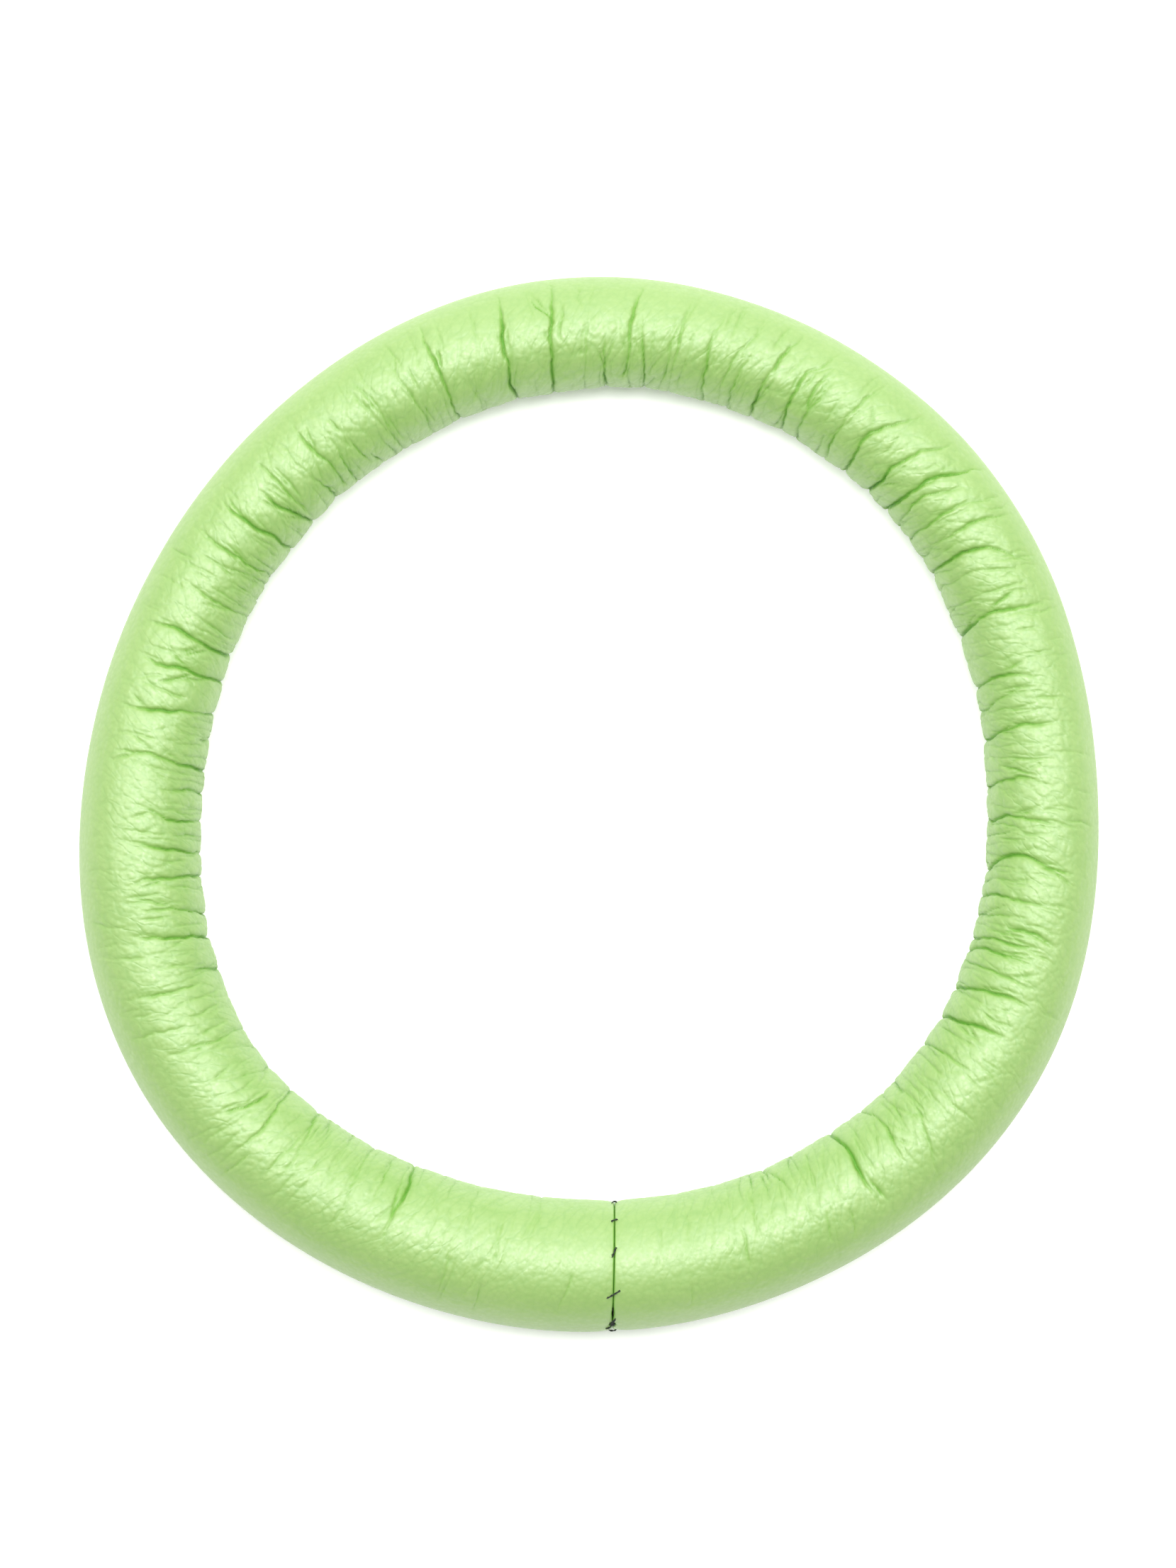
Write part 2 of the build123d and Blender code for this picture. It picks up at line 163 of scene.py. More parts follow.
# The creases that stand out on the upper side, from the ring's inner edge outwards.
MAIN_CREASES = (
    Crease(0.6, ((118.7, 0), (118.8, 0.3), (119.2, 0.6), (119.5, 0.72))),
    Crease(0.5, ((114.0, 0), (113.9, 0.2), (114.3, 0.4), (114.8, 0.6), (115.1, 0.8))),
    Crease(1.0, ((109.7, 0), (109.9, 0.27), (109.6, 0.5), (109.9, 0.7), (109.5, 0.87))),
    Crease(0.35, ((105.7, 0), (106.0, 0.25), (105.6, 0.4))),
    Crease(1.2, ((101.2, 0), (101.4, 0.22), (101.3, 0.42), (100.9, 0.62), (100.3, 0.9))),
    Crease(1.1, ((95.9, 0), (95.9, 0.28), (95.2, 0.38), (95.0, 0.62), (94.5, 0.95))),
    Crease(0.45, ((91.6, 0), (91.3, 0.25), (90.9, 0.45), (90.4, 0.65))),
    Crease(1.0, ((88.8, 0), (88.7, 0.2), (88.6, 0.38))),
    Crease(0.5, ((89.8, 0.08), (89.2, 0.14), (88.8, 0.12))),
    Crease(0.8, ((86.2, 0.1), (85.6, 0.5), (85.1, 0.74), (84.1, 0.92))),
    Crease(1.0, ((83.1, 0), (83.5, 0.22), (84.1, 0.4), (84.3, 0.6))),
    Crease(0.5, ((81.0, 0.1), (80.6, 0.3), (80.2, 0.5), (79.2, 0.7))),
    Crease(0.6, ((79.9, 0), (80.0, 0.18), (79.5, 0.37), (79.7, 0.6), (79.0, 0.85))),
    Crease(0.7, ((74.8, 0), (75.6, 0.18), (75.9, 0.37), (75.8, 0.6), (75.1, 0.75))),
    Crease(0.4, ((72.9, 0), (73.0, 0.28), (72.3, 0.47), (71.5, 0.6), (70.0, 0.85))),
    Crease(0.5, ((71.5, 0), (71.6, 0.28), (70.9, 0.47), (70.4, 0.6))),
    Crease(0.9, ((68.1, 0), (68.2, 0.23), (67.9, 0.4), (67.4, 0.6), (65.9, 0.85))),
    Crease(1.0, ((63.3, 0), (64.0, 0.18), (64.4, 0.4), (63.5, 0.6), (61.3, 0.85))),
    Crease(0.8, ((61.0, 0), (61.6, 0.13), (61.7, 0.28), (62.4, 0.5), (61.3, 0.72))),
    Crease(0.7, ((56.4, 0), (56.8, 0.28), (57.0, 0.42), (56.5, 0.6), (55.5, 0.8))),
    Crease(1.0, ((52.8, 0), (53.4, 0.2), (54.0, 0.4), (52.8, 0.52), (49.9, 0.84))),
    Crease(1.3, ((48.7, 0), (48.4, 0.2), (48.5, 0.4), (47.6, 0.55), (45.3, 0.83))),
    Crease(1.3, ((45.2, 0), (44.7, 0.2), (44.4, 0.4), (43.2, 0.65), (40.8, 0.93))),
    Crease(0.7, ((42.1, 0), (43.1, 0.18), (43.2, 0.35), (42.1, 0.5), (40.5, 0.65))),
    Crease(0.8, ((39.9, 0), (39.7, 0.25), (40.0, 0.5), (38.4, 0.7))),
    Crease(0.7, ((36.7, 0), (37.2, 0.27), (36.8, 0.5), (36.5, 0.68), (35.2, 0.88))),
    Crease(1.2, ((33.7, 0), (34.5, 0.15), (34.4, 0.4), (33.6, 0.55), (29.5, 0.82))),
    Crease(0.5, ((31.5, 0), (31.7, 0.3), (30.8, 0.5), (29.3, 0.75))),
    Crease(0.5, ((27.9, 0), (28.4, 0.15), (28.5, 0.3))),
    Crease(1.2, ((24.3, 0), (24.9, 0.12), (26.0, 0.3), (25.2, 0.55), (24.5, 0.8))),
    Crease(1.0, ((16.5, 0), (17.3, 0.2), (17.6, 0.4), (16.8, 0.48), (16.0, 0.55))),
    Crease(0.8, ((13.2, 0), (14.0, 0.12), (15.3, 0.27), (15.7, 0.4))),
    Crease(1.1, ((9.2, 0), (10.3, 0.22), (11.3, 0.37), (10.8, 0.47), (9.9, 0.6))),
    Crease(0.8, ((2.7, 0), (4.0, 0.25), (4.1, 0.38), (2.0, 0.55))),
    Crease(0.6, ((5.3, 0.15), (4.7, 0.28), (4.1, 0.38))),
    Crease(1.2, ((-2.0, 0), (-1.2, 0.2), (-1.6, 0.38), (-2.7, 0.55))),
    Crease(0.5, ((-4.3, 0), (-3.2, 0.25))),
    Crease(1.2, ((-8.9, 0), (-6.4, 0.17), (-6.4, 0.38), (-8.5, 0.6), (-9.9, 0.75))),
    Crease(0.5, ((-10.3, 0), (-9.7, 0.2), (-9.3, 0.4))),
    Crease(0.9, ((-12.5, 0), (-12.0, 0.25), (-12.7, 0.42), (-13.1, 0.65))),
    Crease(0.8, ((-15.3, 0), (-14.7, 0.2), (-14.5, 0.33))),
    Crease(0.9, ((-16.4, 0.3), (-16.1, 0.47), (-17.1, 0.65))),
    Crease(1.1, ((-18.7, 0), (-17.9, 0.2), (-18.1, 0.37), (-18.0, 0.52))),
    Crease(1.1, ((-20.5, 0), (-19.7, 0.13), (-19.6, 0.33), (-19.4, 0.5))),
    Crease(0.7, ((-22.0, 0), (-22.3, 0.33), (-22.8, 0.6))),
    Crease(1.1, ((-26.4, 0), (-25.1, 0.15), (-24.7, 0.3), (-24.9, 0.57))),
    Crease(0.4, ((-27.7, 0.3), (-28.1, 0.5))),
    Crease(1.3, ((-31.2, 0), (-30.0, 0.2), (-29.3, 0.37), (-29.6, 0.5))),
    Crease(0.4, ((-32.5, 0.1), (-32.0, 0.33))),
    Crease(0.8, ((-35.7, 0), (-35.1, 0.17), (-35.3, 0.4))),
    Crease(0.5, ((-40.0, 0.1), (-40.5, 0.3), (-41.3, 0.4))),
    Crease(0.6, ((-42.7, 0), (-42.8, 0.27), (-44.3, 0.42), (-47.0, 0.78))),
    Crease(0.6, ((-45.0, 0), (-45.3, 0.2), (-46.4, 0.37))),
    Crease(0.7, ((-49.3, 0), (-47.4, 0.15), (-48.3, 0.33), (-49.0, 0.5))),
    Crease(1.0, ((-54.4, 0), (-53.6, 0.15), (-54.1, 0.3), (-54.0, 0.6))),
    Crease(0.8, ((-65.2, 0), (-65.3, 0.1))),
    Crease(0.3, ((-72.6, 0), (-73.7, 0.15))),
    Crease(0.4, ((262.4, 0), (262.3, 0.15), (261.6, 0.23))),
    Crease(1.0, ((243.9, 0), (244.4, 0.15), (244.0, 0.33), (243.7, 0.5), (244.5, 0.63))),
    Crease(0.6, ((243.0, 0.08), (243.2, 0.25), (243.8, 0.4))),
    Crease(0.36, ((237.5, 0), (237.5, 0.33), (238.1, 0.5), (237.9, 0.72))),
    Crease(0.18, ((233.3, 0), (234.1, 0.2))),
    Crease(0.6, ((228.3, 0), (229.3, 0.17), (229.7, 0.35), (230.0, 0.55))),
    Crease(0.54, ((228.9, 0.05), (228.4, 0.35), (228.0, 0.62))),
    Crease(0.78, ((223.3, 0), (223.7, 0.17), (224.3, 0.35), (224.0, 0.6), (223.3, 0.8))),
    Crease(0.66, ((221.5, 0.15), (221.2, 0.3), (220.3, 0.42), (219.2, 0.52))),
    Crease(0.54, ((218.9, 0), (218.0, 0.18), (216.5, 0.28))),
    Crease(0.6, ((215.1, 0), (214.0, 0.1))),
    Crease(0.54, ((212.1, 0), (211.5, 0.25), (210.9, 0.42), (211.1, 0.55))),
    Crease(0.36, ((210.1, 0.1), (209.9, 0.33))),
    Crease(0.24, ((207.2, 0), (205.3, 0.25))),
    Crease(1.1, ((202.7, 0), (201.6, 0.15))),
    Crease(0.66, ((203.6, 0.2), (203.5, 0.45), (202.7, 0.75))),
    Crease(1.2, ((198.0, 0), (197.1, 0.25), (196.5, 0.45), (196.0, 0.55))),
    Crease(0.9, ((194.7, 0), (193.6, 0.15), (192.8, 0.3), (193.3, 0.45))),
    Crease(1.0, ((189.2, 0), (189.3, 0.28), (188.9, 0.4), (190.1, 0.53))),
    Crease(0.9, ((186.1, 0), (185.5, 0.28), (184.3, 0.5), (184.0, 0.63))),
    Crease(1.0, ((181.5, 0), (181.6, 0.2), (180.8, 0.35), (179.6, 0.5))),
    Crease(0.8, ((177.7, 0), (177.1, 0.18), (177.7, 0.25))),
    Crease(1.2, ((174.3, 0), (174.1, 0.2), (173.1, 0.42), (172.9, 0.55), (173.6, 0.7))),
    Crease(0.5, ((169.9, 0), (169.9, 0.25))),
    Crease(0.6, ((171.3, 0.03), (170.4, 0.06), (169.6, 0.02))),
    Crease(1.0, ((166.3, 0), (166.9, 0.25), (167.7, 0.42), (168.0, 0.6), (167.5, 0.83))),
    Crease(0.5, ((165.1, 0.3), (165.0, 0.42), (164.8, 0.65))),
    Crease(1.4, ((161.7, 0), (161.9, 0.2), (161.6, 0.38), (162.1, 0.57), (161.6, 0.7))),
    Crease(1.1, ((157.5, 0), (157.9, 0.23), (157.1, 0.35), (156.8, 0.53), (157.3, 0.78))),
    Crease(0.9, ((151.5, 0), (152.0, 0.23), (151.5, 0.35), (151.2, 0.6))),
    Crease(0.5, ((148.9, 0), (148.8, 0.22))),
    Crease(0.9, ((144.7, 0), (145.2, 0.2), (145.5, 0.35), (145.1, 0.6), (145.1, 0.8))),
    Crease(0.6, ((146.4, 0), (146.1, 0.22))),
    Crease(1.1, ((140.0, 0), (140.2, 0.2), (140.8, 0.35), (141.1, 0.6), (140.3, 0.75))),
    Crease(1.1, ((134.9, 0), (135.9, 0.15), (136.5, 0.33), (136.8, 0.5))),
    Crease(0.8, ((134.7, 0.12), (134.3, 0.5), (134.4, 0.7))),
    Crease(0.9, ((130.4, 0), (130.1, 0.15), (130.9, 0.3))),
    Crease(0.9, ((127.7, 0.05), (128.0, 0.3), (128.5, 0.5), (128.1, 0.75))),
    Crease(0.7, ((126.5, 0), (126.7, 0.25), (125.3, 0.35))),
    Crease(0.6, ((123.5, 0.1), (124.0, 0.35))),
    Crease(0.7, ((121.9, 0), (122.7, 0.12))),
)


@dataclass
class CreaseField:
    """The leather's creases and soft lumps, as a height to add to its radius.

    Attributes:
        form: The ring.
        creases: The creases that are drawn one by one.
        deep: How deep a strong crease's sharp valley is.
        soft: How deep the soft fall towards it is.
        narrow: How wide the sharp valley is.
        broad: How wide the soft fall is.
        fullness: How far the gathered leather stands out between its creases.
        fold_depth: How deep the small folds are.
        lump_height: How high the soft lumps are.
        wander: How far the gathered leather wanders in and out.
        slant: How far the small folds run along the ring for each step round the sleeve.
        fine_count: How many fine creases there are.
        cell_rows: How many cells go round the sleeve before they repeat.
        copy_margin: The angle between the closing seam and the simulated copy's ends.
        seed: Seed for the fine creases.
        swell: How far the leather swells, a row for each even step round the ring and a
            column for each even step round the sleeve, once the simulation has run.
    """

    form: RingForm
    creases: tuple = MAIN_CREASES
    deep: float = 0.30
    soft: float = 0.22
    narrow: float = 0.075
    broad: float = 0.48
    fullness: float = 0.10
    fold_depth: float = 0.070
    lump_height: float = 0.035
    wander: float = 0.05
    slant: float = 0.55
    fine_count: int = 760
    cell_rows: int = 64
    copy_margin: float = 0.3
    seed: int = 7
    swell: np.ndarray | None = None

    def underside(self) -> list[Crease]:
        """Return creases for the underside, which carry on those that cross the inner edge."""
        rng = np.random.default_rng(self.seed)
        found = []
        for crease in self.creases:
            start = crease.line[0]
            if start[1] > 0.02:
                continue
            reach = rng.uniform(0.25, 0.75)
            steps = np.linspace(0, reach, 4)
            lean = rng.uniform(-2.2, 2.2)
            wander = np.concatenate(([0.0], rng.normal(0, 0.35, 3)))
            angles = start[0] + lean * steps + wander
            line = tuple(zip(angles.tolist(), steps.tolist(), strict=True))
            found.append(Crease(crease.depth * rng.uniform(0.7, 1.0), line, under=True))
        return found

    def branches(self) -> list[Crease]:
        """Return short side creases that leave the ones drawn one by one."""
        rng = np.random.default_rng(self.seed + 3)
        found = []
        for crease in self.creases:
            marks = np.array(crease.line)
            for _ in range(rng.integers(1, 4)):
                start = rng.uniform(marks[0, 1], marks[0, 1] + 0.85 * np.ptp(marks[:, 1]))
                shares = np.linspace(start, start + rng.uniform(0.08, 0.24), 3)
                if shares[-1] > 0.9:
                    continue
                root = np.interp(start, marks[:, 1], marks[:, 0])
                spread = rng.choice((-1, 1)) * rng.uniform(0.7, 2.4)
                angles = root + np.array((0.0, 0.62, 1.0)) * spread
                line = tuple(zip(angles.tolist(), shares.tolist(), strict=True))
                found.append(Crease(crease.depth * rng.uniform(0.3, 0.65), line))
        return found

    def lean(self, angle: float) -> float:
        """Return how far a fine crease leans along the ring as it crosses the sleeve."""
        return -3.2 + 2.4 * math.cos(math.radians(angle - 130)) + math.cos(math.radians(3 * angle))

    def fine(self) -> list[Crease]:
        """Return short faint creases, scattered between the main ones."""
        rng = np.random.default_rng(self.seed + 2)
        found = []
        while len(found) < self.fine_count:
            angle = rng.uniform(self.form.seam_at + 4, self.form.seam_at + 356)
            from_seam = min(angle - self.form.seam_at, self.form.seam_at + 360 - angle)
            if rng.random() > min(1.0, 0.08 + from_seam / 45):
                continue
            start = rng.uniform(0.03, 0.78) if rng.random() < 0.7 else 0.0
            length = rng.uniform(0.10, 0.34)
            stop = min(start + length, 0.9)
            shares = np.linspace(start, stop, 4)
            pull = (self.lean(angle) * max(start, 0.25) * 1.6 + rng.normal(0, 1.6)) * (shares - start)
            angles = angle + pull + np.concatenate(([0.0], rng.normal(0, 0.10, 3)))
            depth = rng.uniform(0.14, 0.46) * (1.15 - 0.5 * start)
            line = tuple(zip(angles.tolist(), shares.tolist(), strict=True))
            found.append(Crease(depth, line, under=bool(rng.random() < 0.42)))
        return found

    def cells(self, u: np.ndarray, v: np.ndarray, around: int, seed: int) -> np.ndarray:
        """Return how far each point is from the nearest border between scattered cells.

        Args:
            u: Places along the ring, one cell to a unit.
            v: Places round the sleeve, one cell to a unit.
            around: How many units the ring takes before it repeats.
            seed: Seed for the cells.

        Returns:
            The distance to the nearest border, about 0 to 1.
        """
        rng = np.random.default_rng(seed)
        spots = rng.random((around, self.cell_rows, 2))
        base_u, base_v = np.floor(u).astype(int), np.floor(v).astype(int)
        first = np.full(u.shape, 9.0)
        second = np.full(u.shape, 9.0)
        for du in (-1, 0, 1):
            for dv in (-1, 0, 1):
                spot = spots[(base_u + du) % around, (base_v + dv) % self.cell_rows]
                away = np.hypot(base_u + du + spot[..., 0] - u, base_v + dv + spot[..., 1] - v)
                second = np.minimum(second, np.maximum(first, away))
                first = np.minimum(first, away)
        return second - first

    def drift(self, u: np.ndarray, v: np.ndarray, seed: int, waves: int = 6) -> np.ndarray:
        """Return a smooth random wander of about -1 to 1.

        Args:
            u: Places along the ring, with about six to one wave.
            v: Places round the sleeve, in the same measure.
            seed: Seed for the waves.
            waves: How many waves are added up.

        Returns:
            The wander at each place.
        """
        rng = np.random.default_rng(seed)
        total = np.zeros(np.broadcast(u, v).shape)
        for _ in range(waves):
            turn, phase = rng.uniform(0, math.tau, 2)
            pace = rng.uniform(0.6, 1.5)
            total += np.sin(pace * (np.cos(turn) * u + np.sin(turn) * v) + phase)
        return total / math.sqrt(waves)

    def flow(self, spot: np.ndarray, turns: np.ndarray, angles: np.ndarray) -> np.ndarray:
        """Return a crease's place along the ring, on a line rounded off at its points.

        Args:
            spot: Angles round the sleeve to read it at.
            turns: The points' angles round the sleeve, rising.
            angles: The points' angles round the ring.

        Returns:
            The angle round the ring at each spot.
        """
        weights = np.array((1.0, 2.0, 3.0, 2.0, 1.0))
        shifts = np.array((-18.0, -9.0, 0.0, 9.0, 18.0))
        reads = np.interp(spot[:, None] + shifts, turns, angles)
        return reads @ weights / weights.sum()

    def drawn(self, angle: np.ndarray, turned: np.ndarray) -> tuple[np.ndarray, np.ndarray]:
        """Return how much of the sharp valleys, and of the soft falls, is at each point.

        Args:
            angle: Angles round the ring, rising, one for each row.
            turned: Angles round the sleeve, from 0 to 360, one for each column.

        Returns:
            The sharp and the soft share, a row for each angle and a column for each turn.
        """
        sharp = np.zeros((len(angle), len(turned)))
        calm = np.ones_like(sharp)
        rng = np.random.default_rng(self.seed + 1)
        folded = np.where(turned <= 180, turned, 360 - turned)
        for crease in (*self.creases, *self.underside(), *self.branches(), *self.fine()):
            marks = np.array(crease.line)
            turns = np.degrees(np.arccos(np.clip(2 * marks[:, 1] - 1, -1, 1)))
            order = np.argsort(turns)
            inner, outer = turns.max(), turns.min()
            column = np.flatnonzero((turned > 180) == crease.under)
            if crease.line[0][1] < 0.02 and not crease.under:
                column = np.flatnonzero(turned <= 186)
            spot = folded[column]
            middle = self.flow(spot, turns[order], marks[order, 0])
            middle += 0.16 * self.drift(spot / 8.0, spot * 0, int(rng.integers(1000)), 4)
            middle += 0.07 * self.drift(spot / 2.6, spot * 0, int(rng.integers(1000)), 4)
            fade_out = np.clip((spot - outer + 6) / (0.30 * (inner - outer) + 8), 0, 1)
            fade_in = np.clip((inner + 10 - spot) / 10, 0, 1)
            if inner > 179:
                fade_in = np.ones_like(spot)
            power = crease.depth * fade_out**0.8 * fade_in
            base = self.form.seam_at + (marks[:, 0].mean() - self.form.seam_at) % 360
            middle += base - marks[:, 0].mean()
            low, high = np.searchsorted(angle, (middle.min() - 4, middle.max() + 4))
            if high <= low:
                continue
            radius = self.form.ring_radius + self.form.sleeve_radius * np.cos(np.radians(spot))
            away = np.radians(angle[low:high, None] - middle[None, :]) * radius[None, :]
            lean = rng.uniform(-0.5, 0.5)
            skewed = np.abs(away) * (1 + lean * np.sign(away))
            block = np.ix_(np.arange(low, high), column)
            strength = 0.88 + 0.22 * self.drift(spot / 13.0, spot * 0, int(rng.integers(1000)), 3)
            power = power * np.clip(strength, 0.2, 1.25)
            width = self.narrow * (0.75 + 0.35 * np.clip(power, 0, 1.2))
            valley = power * np.exp(-skewed / width)
            sharp[block] = np.maximum(sharp[block], valley)
            fall = np.clip(power, 0, 1.2) * 0.8 * np.exp(-skewed / self.broad)
            calm[block] *= 1 - fall
        return sharp, 1 - calm

    def swollen(self, angle: np.ndarray, turned: np.ndarray) -> np.ndarray:
        """Return how far the leather swells at each angle and turn, read off the simulation."""
        if self.swell is None:
            return np.zeros((len(angle), len(turned)))
        rows, columns = self.swell.shape
        share = (angle - self.form.seam_at - self.copy_margin) / (360 - 2 * self.copy_margin)
        at_row = np.clip(share * (rows - 1), 0, rows - 1.001)
        at_column = turned / 360 * columns
        row, column = at_row.astype(int), at_column.astype(int) % columns
        down, right = (at_row - row)[:, None], (at_column - np.floor(at_column))[None, :]
        after = (column + 1) % columns
        near = self.swell[row][:, column] * (1 - right) + self.swell[row][:, after] * right
        far = self.swell[row + 1][:, column] * (1 - right) + self.swell[row + 1][:, after] * right
        return near * (1 - down) + far * down

    def slanted(self, angle: np.ndarray, turned: np.ndarray) -> np.ndarray:
        """Return how far along the ring each point is, less its share of the folds' slant."""
        folded = np.radians(np.where(turned <= 180, turned, 360 - turned)) * self.form.sleeve_radius
        return np.radians(angle) * self.form.ring_radius - self.slant * folded

    def height(self, angle: np.ndarray, turned: np.ndarray) -> tuple[np.ndarray, np.ndarray]:
        """Return the height of the creased leather above its plain radius.

        Args:
            angle: Angles round the ring, rising, one for each row.
            turned: Angles round the sleeve, from 0 to 360, one for each column.

        Returns:
            The height, and how much of a crease each point is, from 0 to 1, which also sets how much painted
            crease shade it gets.
        """
        sharp, fall = self.drawn(angle, turned)
        grid_a, grid_t = np.meshgrid(angle, turned, indexing="ij")
        along = np.radians(grid_a) * self.form.ring_radius
        across = np.radians(grid_t) * self.form.sleeve_radius
        inner = (1 - np.cos(np.radians(grid_t))) / 2
        near_seam = np.abs((grid_a - self.form.seam_at + 180) % 360 - 180)
        calm = np.clip((near_seam - 3) / 14, 0, 1)
        tight = np.clip((inner - 0.22) / 0.40, 0, 1) * (0.25 + 0.75 * calm)
        warp_u = 0.55 * self.drift(along / 2.2, across / 2.6, 11)
        warp_v = 0.55 * self.drift(along / 2.2, across / 2.6, 12)
        slanted = self.slanted(grid_a, grid_t)
        fine = self.cells(slanted / 1.75 + warp_u, across / 3.6 + warp_v, 134, 21)
        fine_valley = np.exp(-fine / 0.085) * tight
        lumps = self.cells(along / 1.15 + warp_v, across / 1.3 + warp_u, 205, 22)
        spread = np.clip((inner + 0.02) / 0.22, 0, 1) * (0.55 + 0.45 * calm)
        lump = (1 - np.exp(-lumps / 0.28)) * spread
        wander = self.wander * self.drift(along / 2.6, across / 3.4, 13) * tight
        height = self.fullness * tight - self.deep * sharp - self.soft * fall
        height = height - self.fold_depth * fine_valley + self.lump_height * (lump - 0.55 * spread) + wander
        height = height + self.swollen(angle, turned)
        # This share of crease also sets the painted crease shade and the lowered gloss in the leather's
        # finish.
        depth = np.clip(1.1 * sharp**1.25 + 0.15 * fine_valley + 0.10 * fall, 0, 1)
        return height, depth


def add_mesh(name: str, points: np.ndarray, faces: Sequence) -> bpy.types.Object:
    """Make a smooth mesh object from points in millimetres.

    Args:
        name: The piece's name.
        points: Its points, one to a row.
        faces: Its faces, each a sequence of point numbers.

    Returns:
        The object, linked to the scene.
    """
    mesh = bpy.data.meshes.new(name)
    mesh.from_pydata((points * MM).tolist(), [], faces)
    mesh.polygons.foreach_set("use_smooth", np.ones(len(mesh.polygons), dtype=bool))
    mesh.update()
    piece = bpy.data.objects.new(name, mesh)
    bpy.context.scene.collection.objects.link(piece)
    return piece


def sheet_faces(
    rows: int, columns: int, first: int, inward: bool = False, closed: bool = False
) -> np.ndarray:
    """Return the quads of a grid of points.

    Args:
        rows: How many rows of points.
        columns: How many points in a row.
        first: The number of the grid's first point.
        inward: Whether the quads are turned over.
        closed: Whether each row joins up into a loop.

    Returns:
        The quads, four point numbers to a row.
    """
    at = first + np.arange(rows * columns).reshape(rows, columns)
    if closed:
        at = np.concatenate((at, at[:, :1]), axis=1)
    quads = np.stack((at[:-1, :-1], at[1:, :-1], at[1:, 1:], at[:-1, 1:]), axis=-1).reshape(-1, 4)
    return quads[:, ::-1] if inward else quads


def bridge(outer: np.ndarray, inner: np.ndarray, turned_over: bool) -> list:
    """Return triangles between two rows of points that run side by side.

    Args:
        outer: Point numbers of one row.
        inner: Point numbers of the other row.
        turned_over: Whether the triangles are turned over.

    Returns:
        The triangles.
    """
    found = []
    a, b = 0, 0
    while a < len(outer) - 1 or b < len(inner) - 1:
        next_a = (a + 1) / (len(outer) - 1) if a < len(outer) - 1 else 2.0
        next_b = (b + 1) / (len(inner) - 1) if b < len(inner) - 1 else 2.0
        if next_a <= next_b:
            face = (outer[a], outer[a + 1], inner[b])
            a += 1
        else:
            face = (outer[a], inner[b + 1], inner[b])
            b += 1
        found.append(face[::-1] if turned_over else face)
    return [tuple(int(n) for n in face) for face in found]


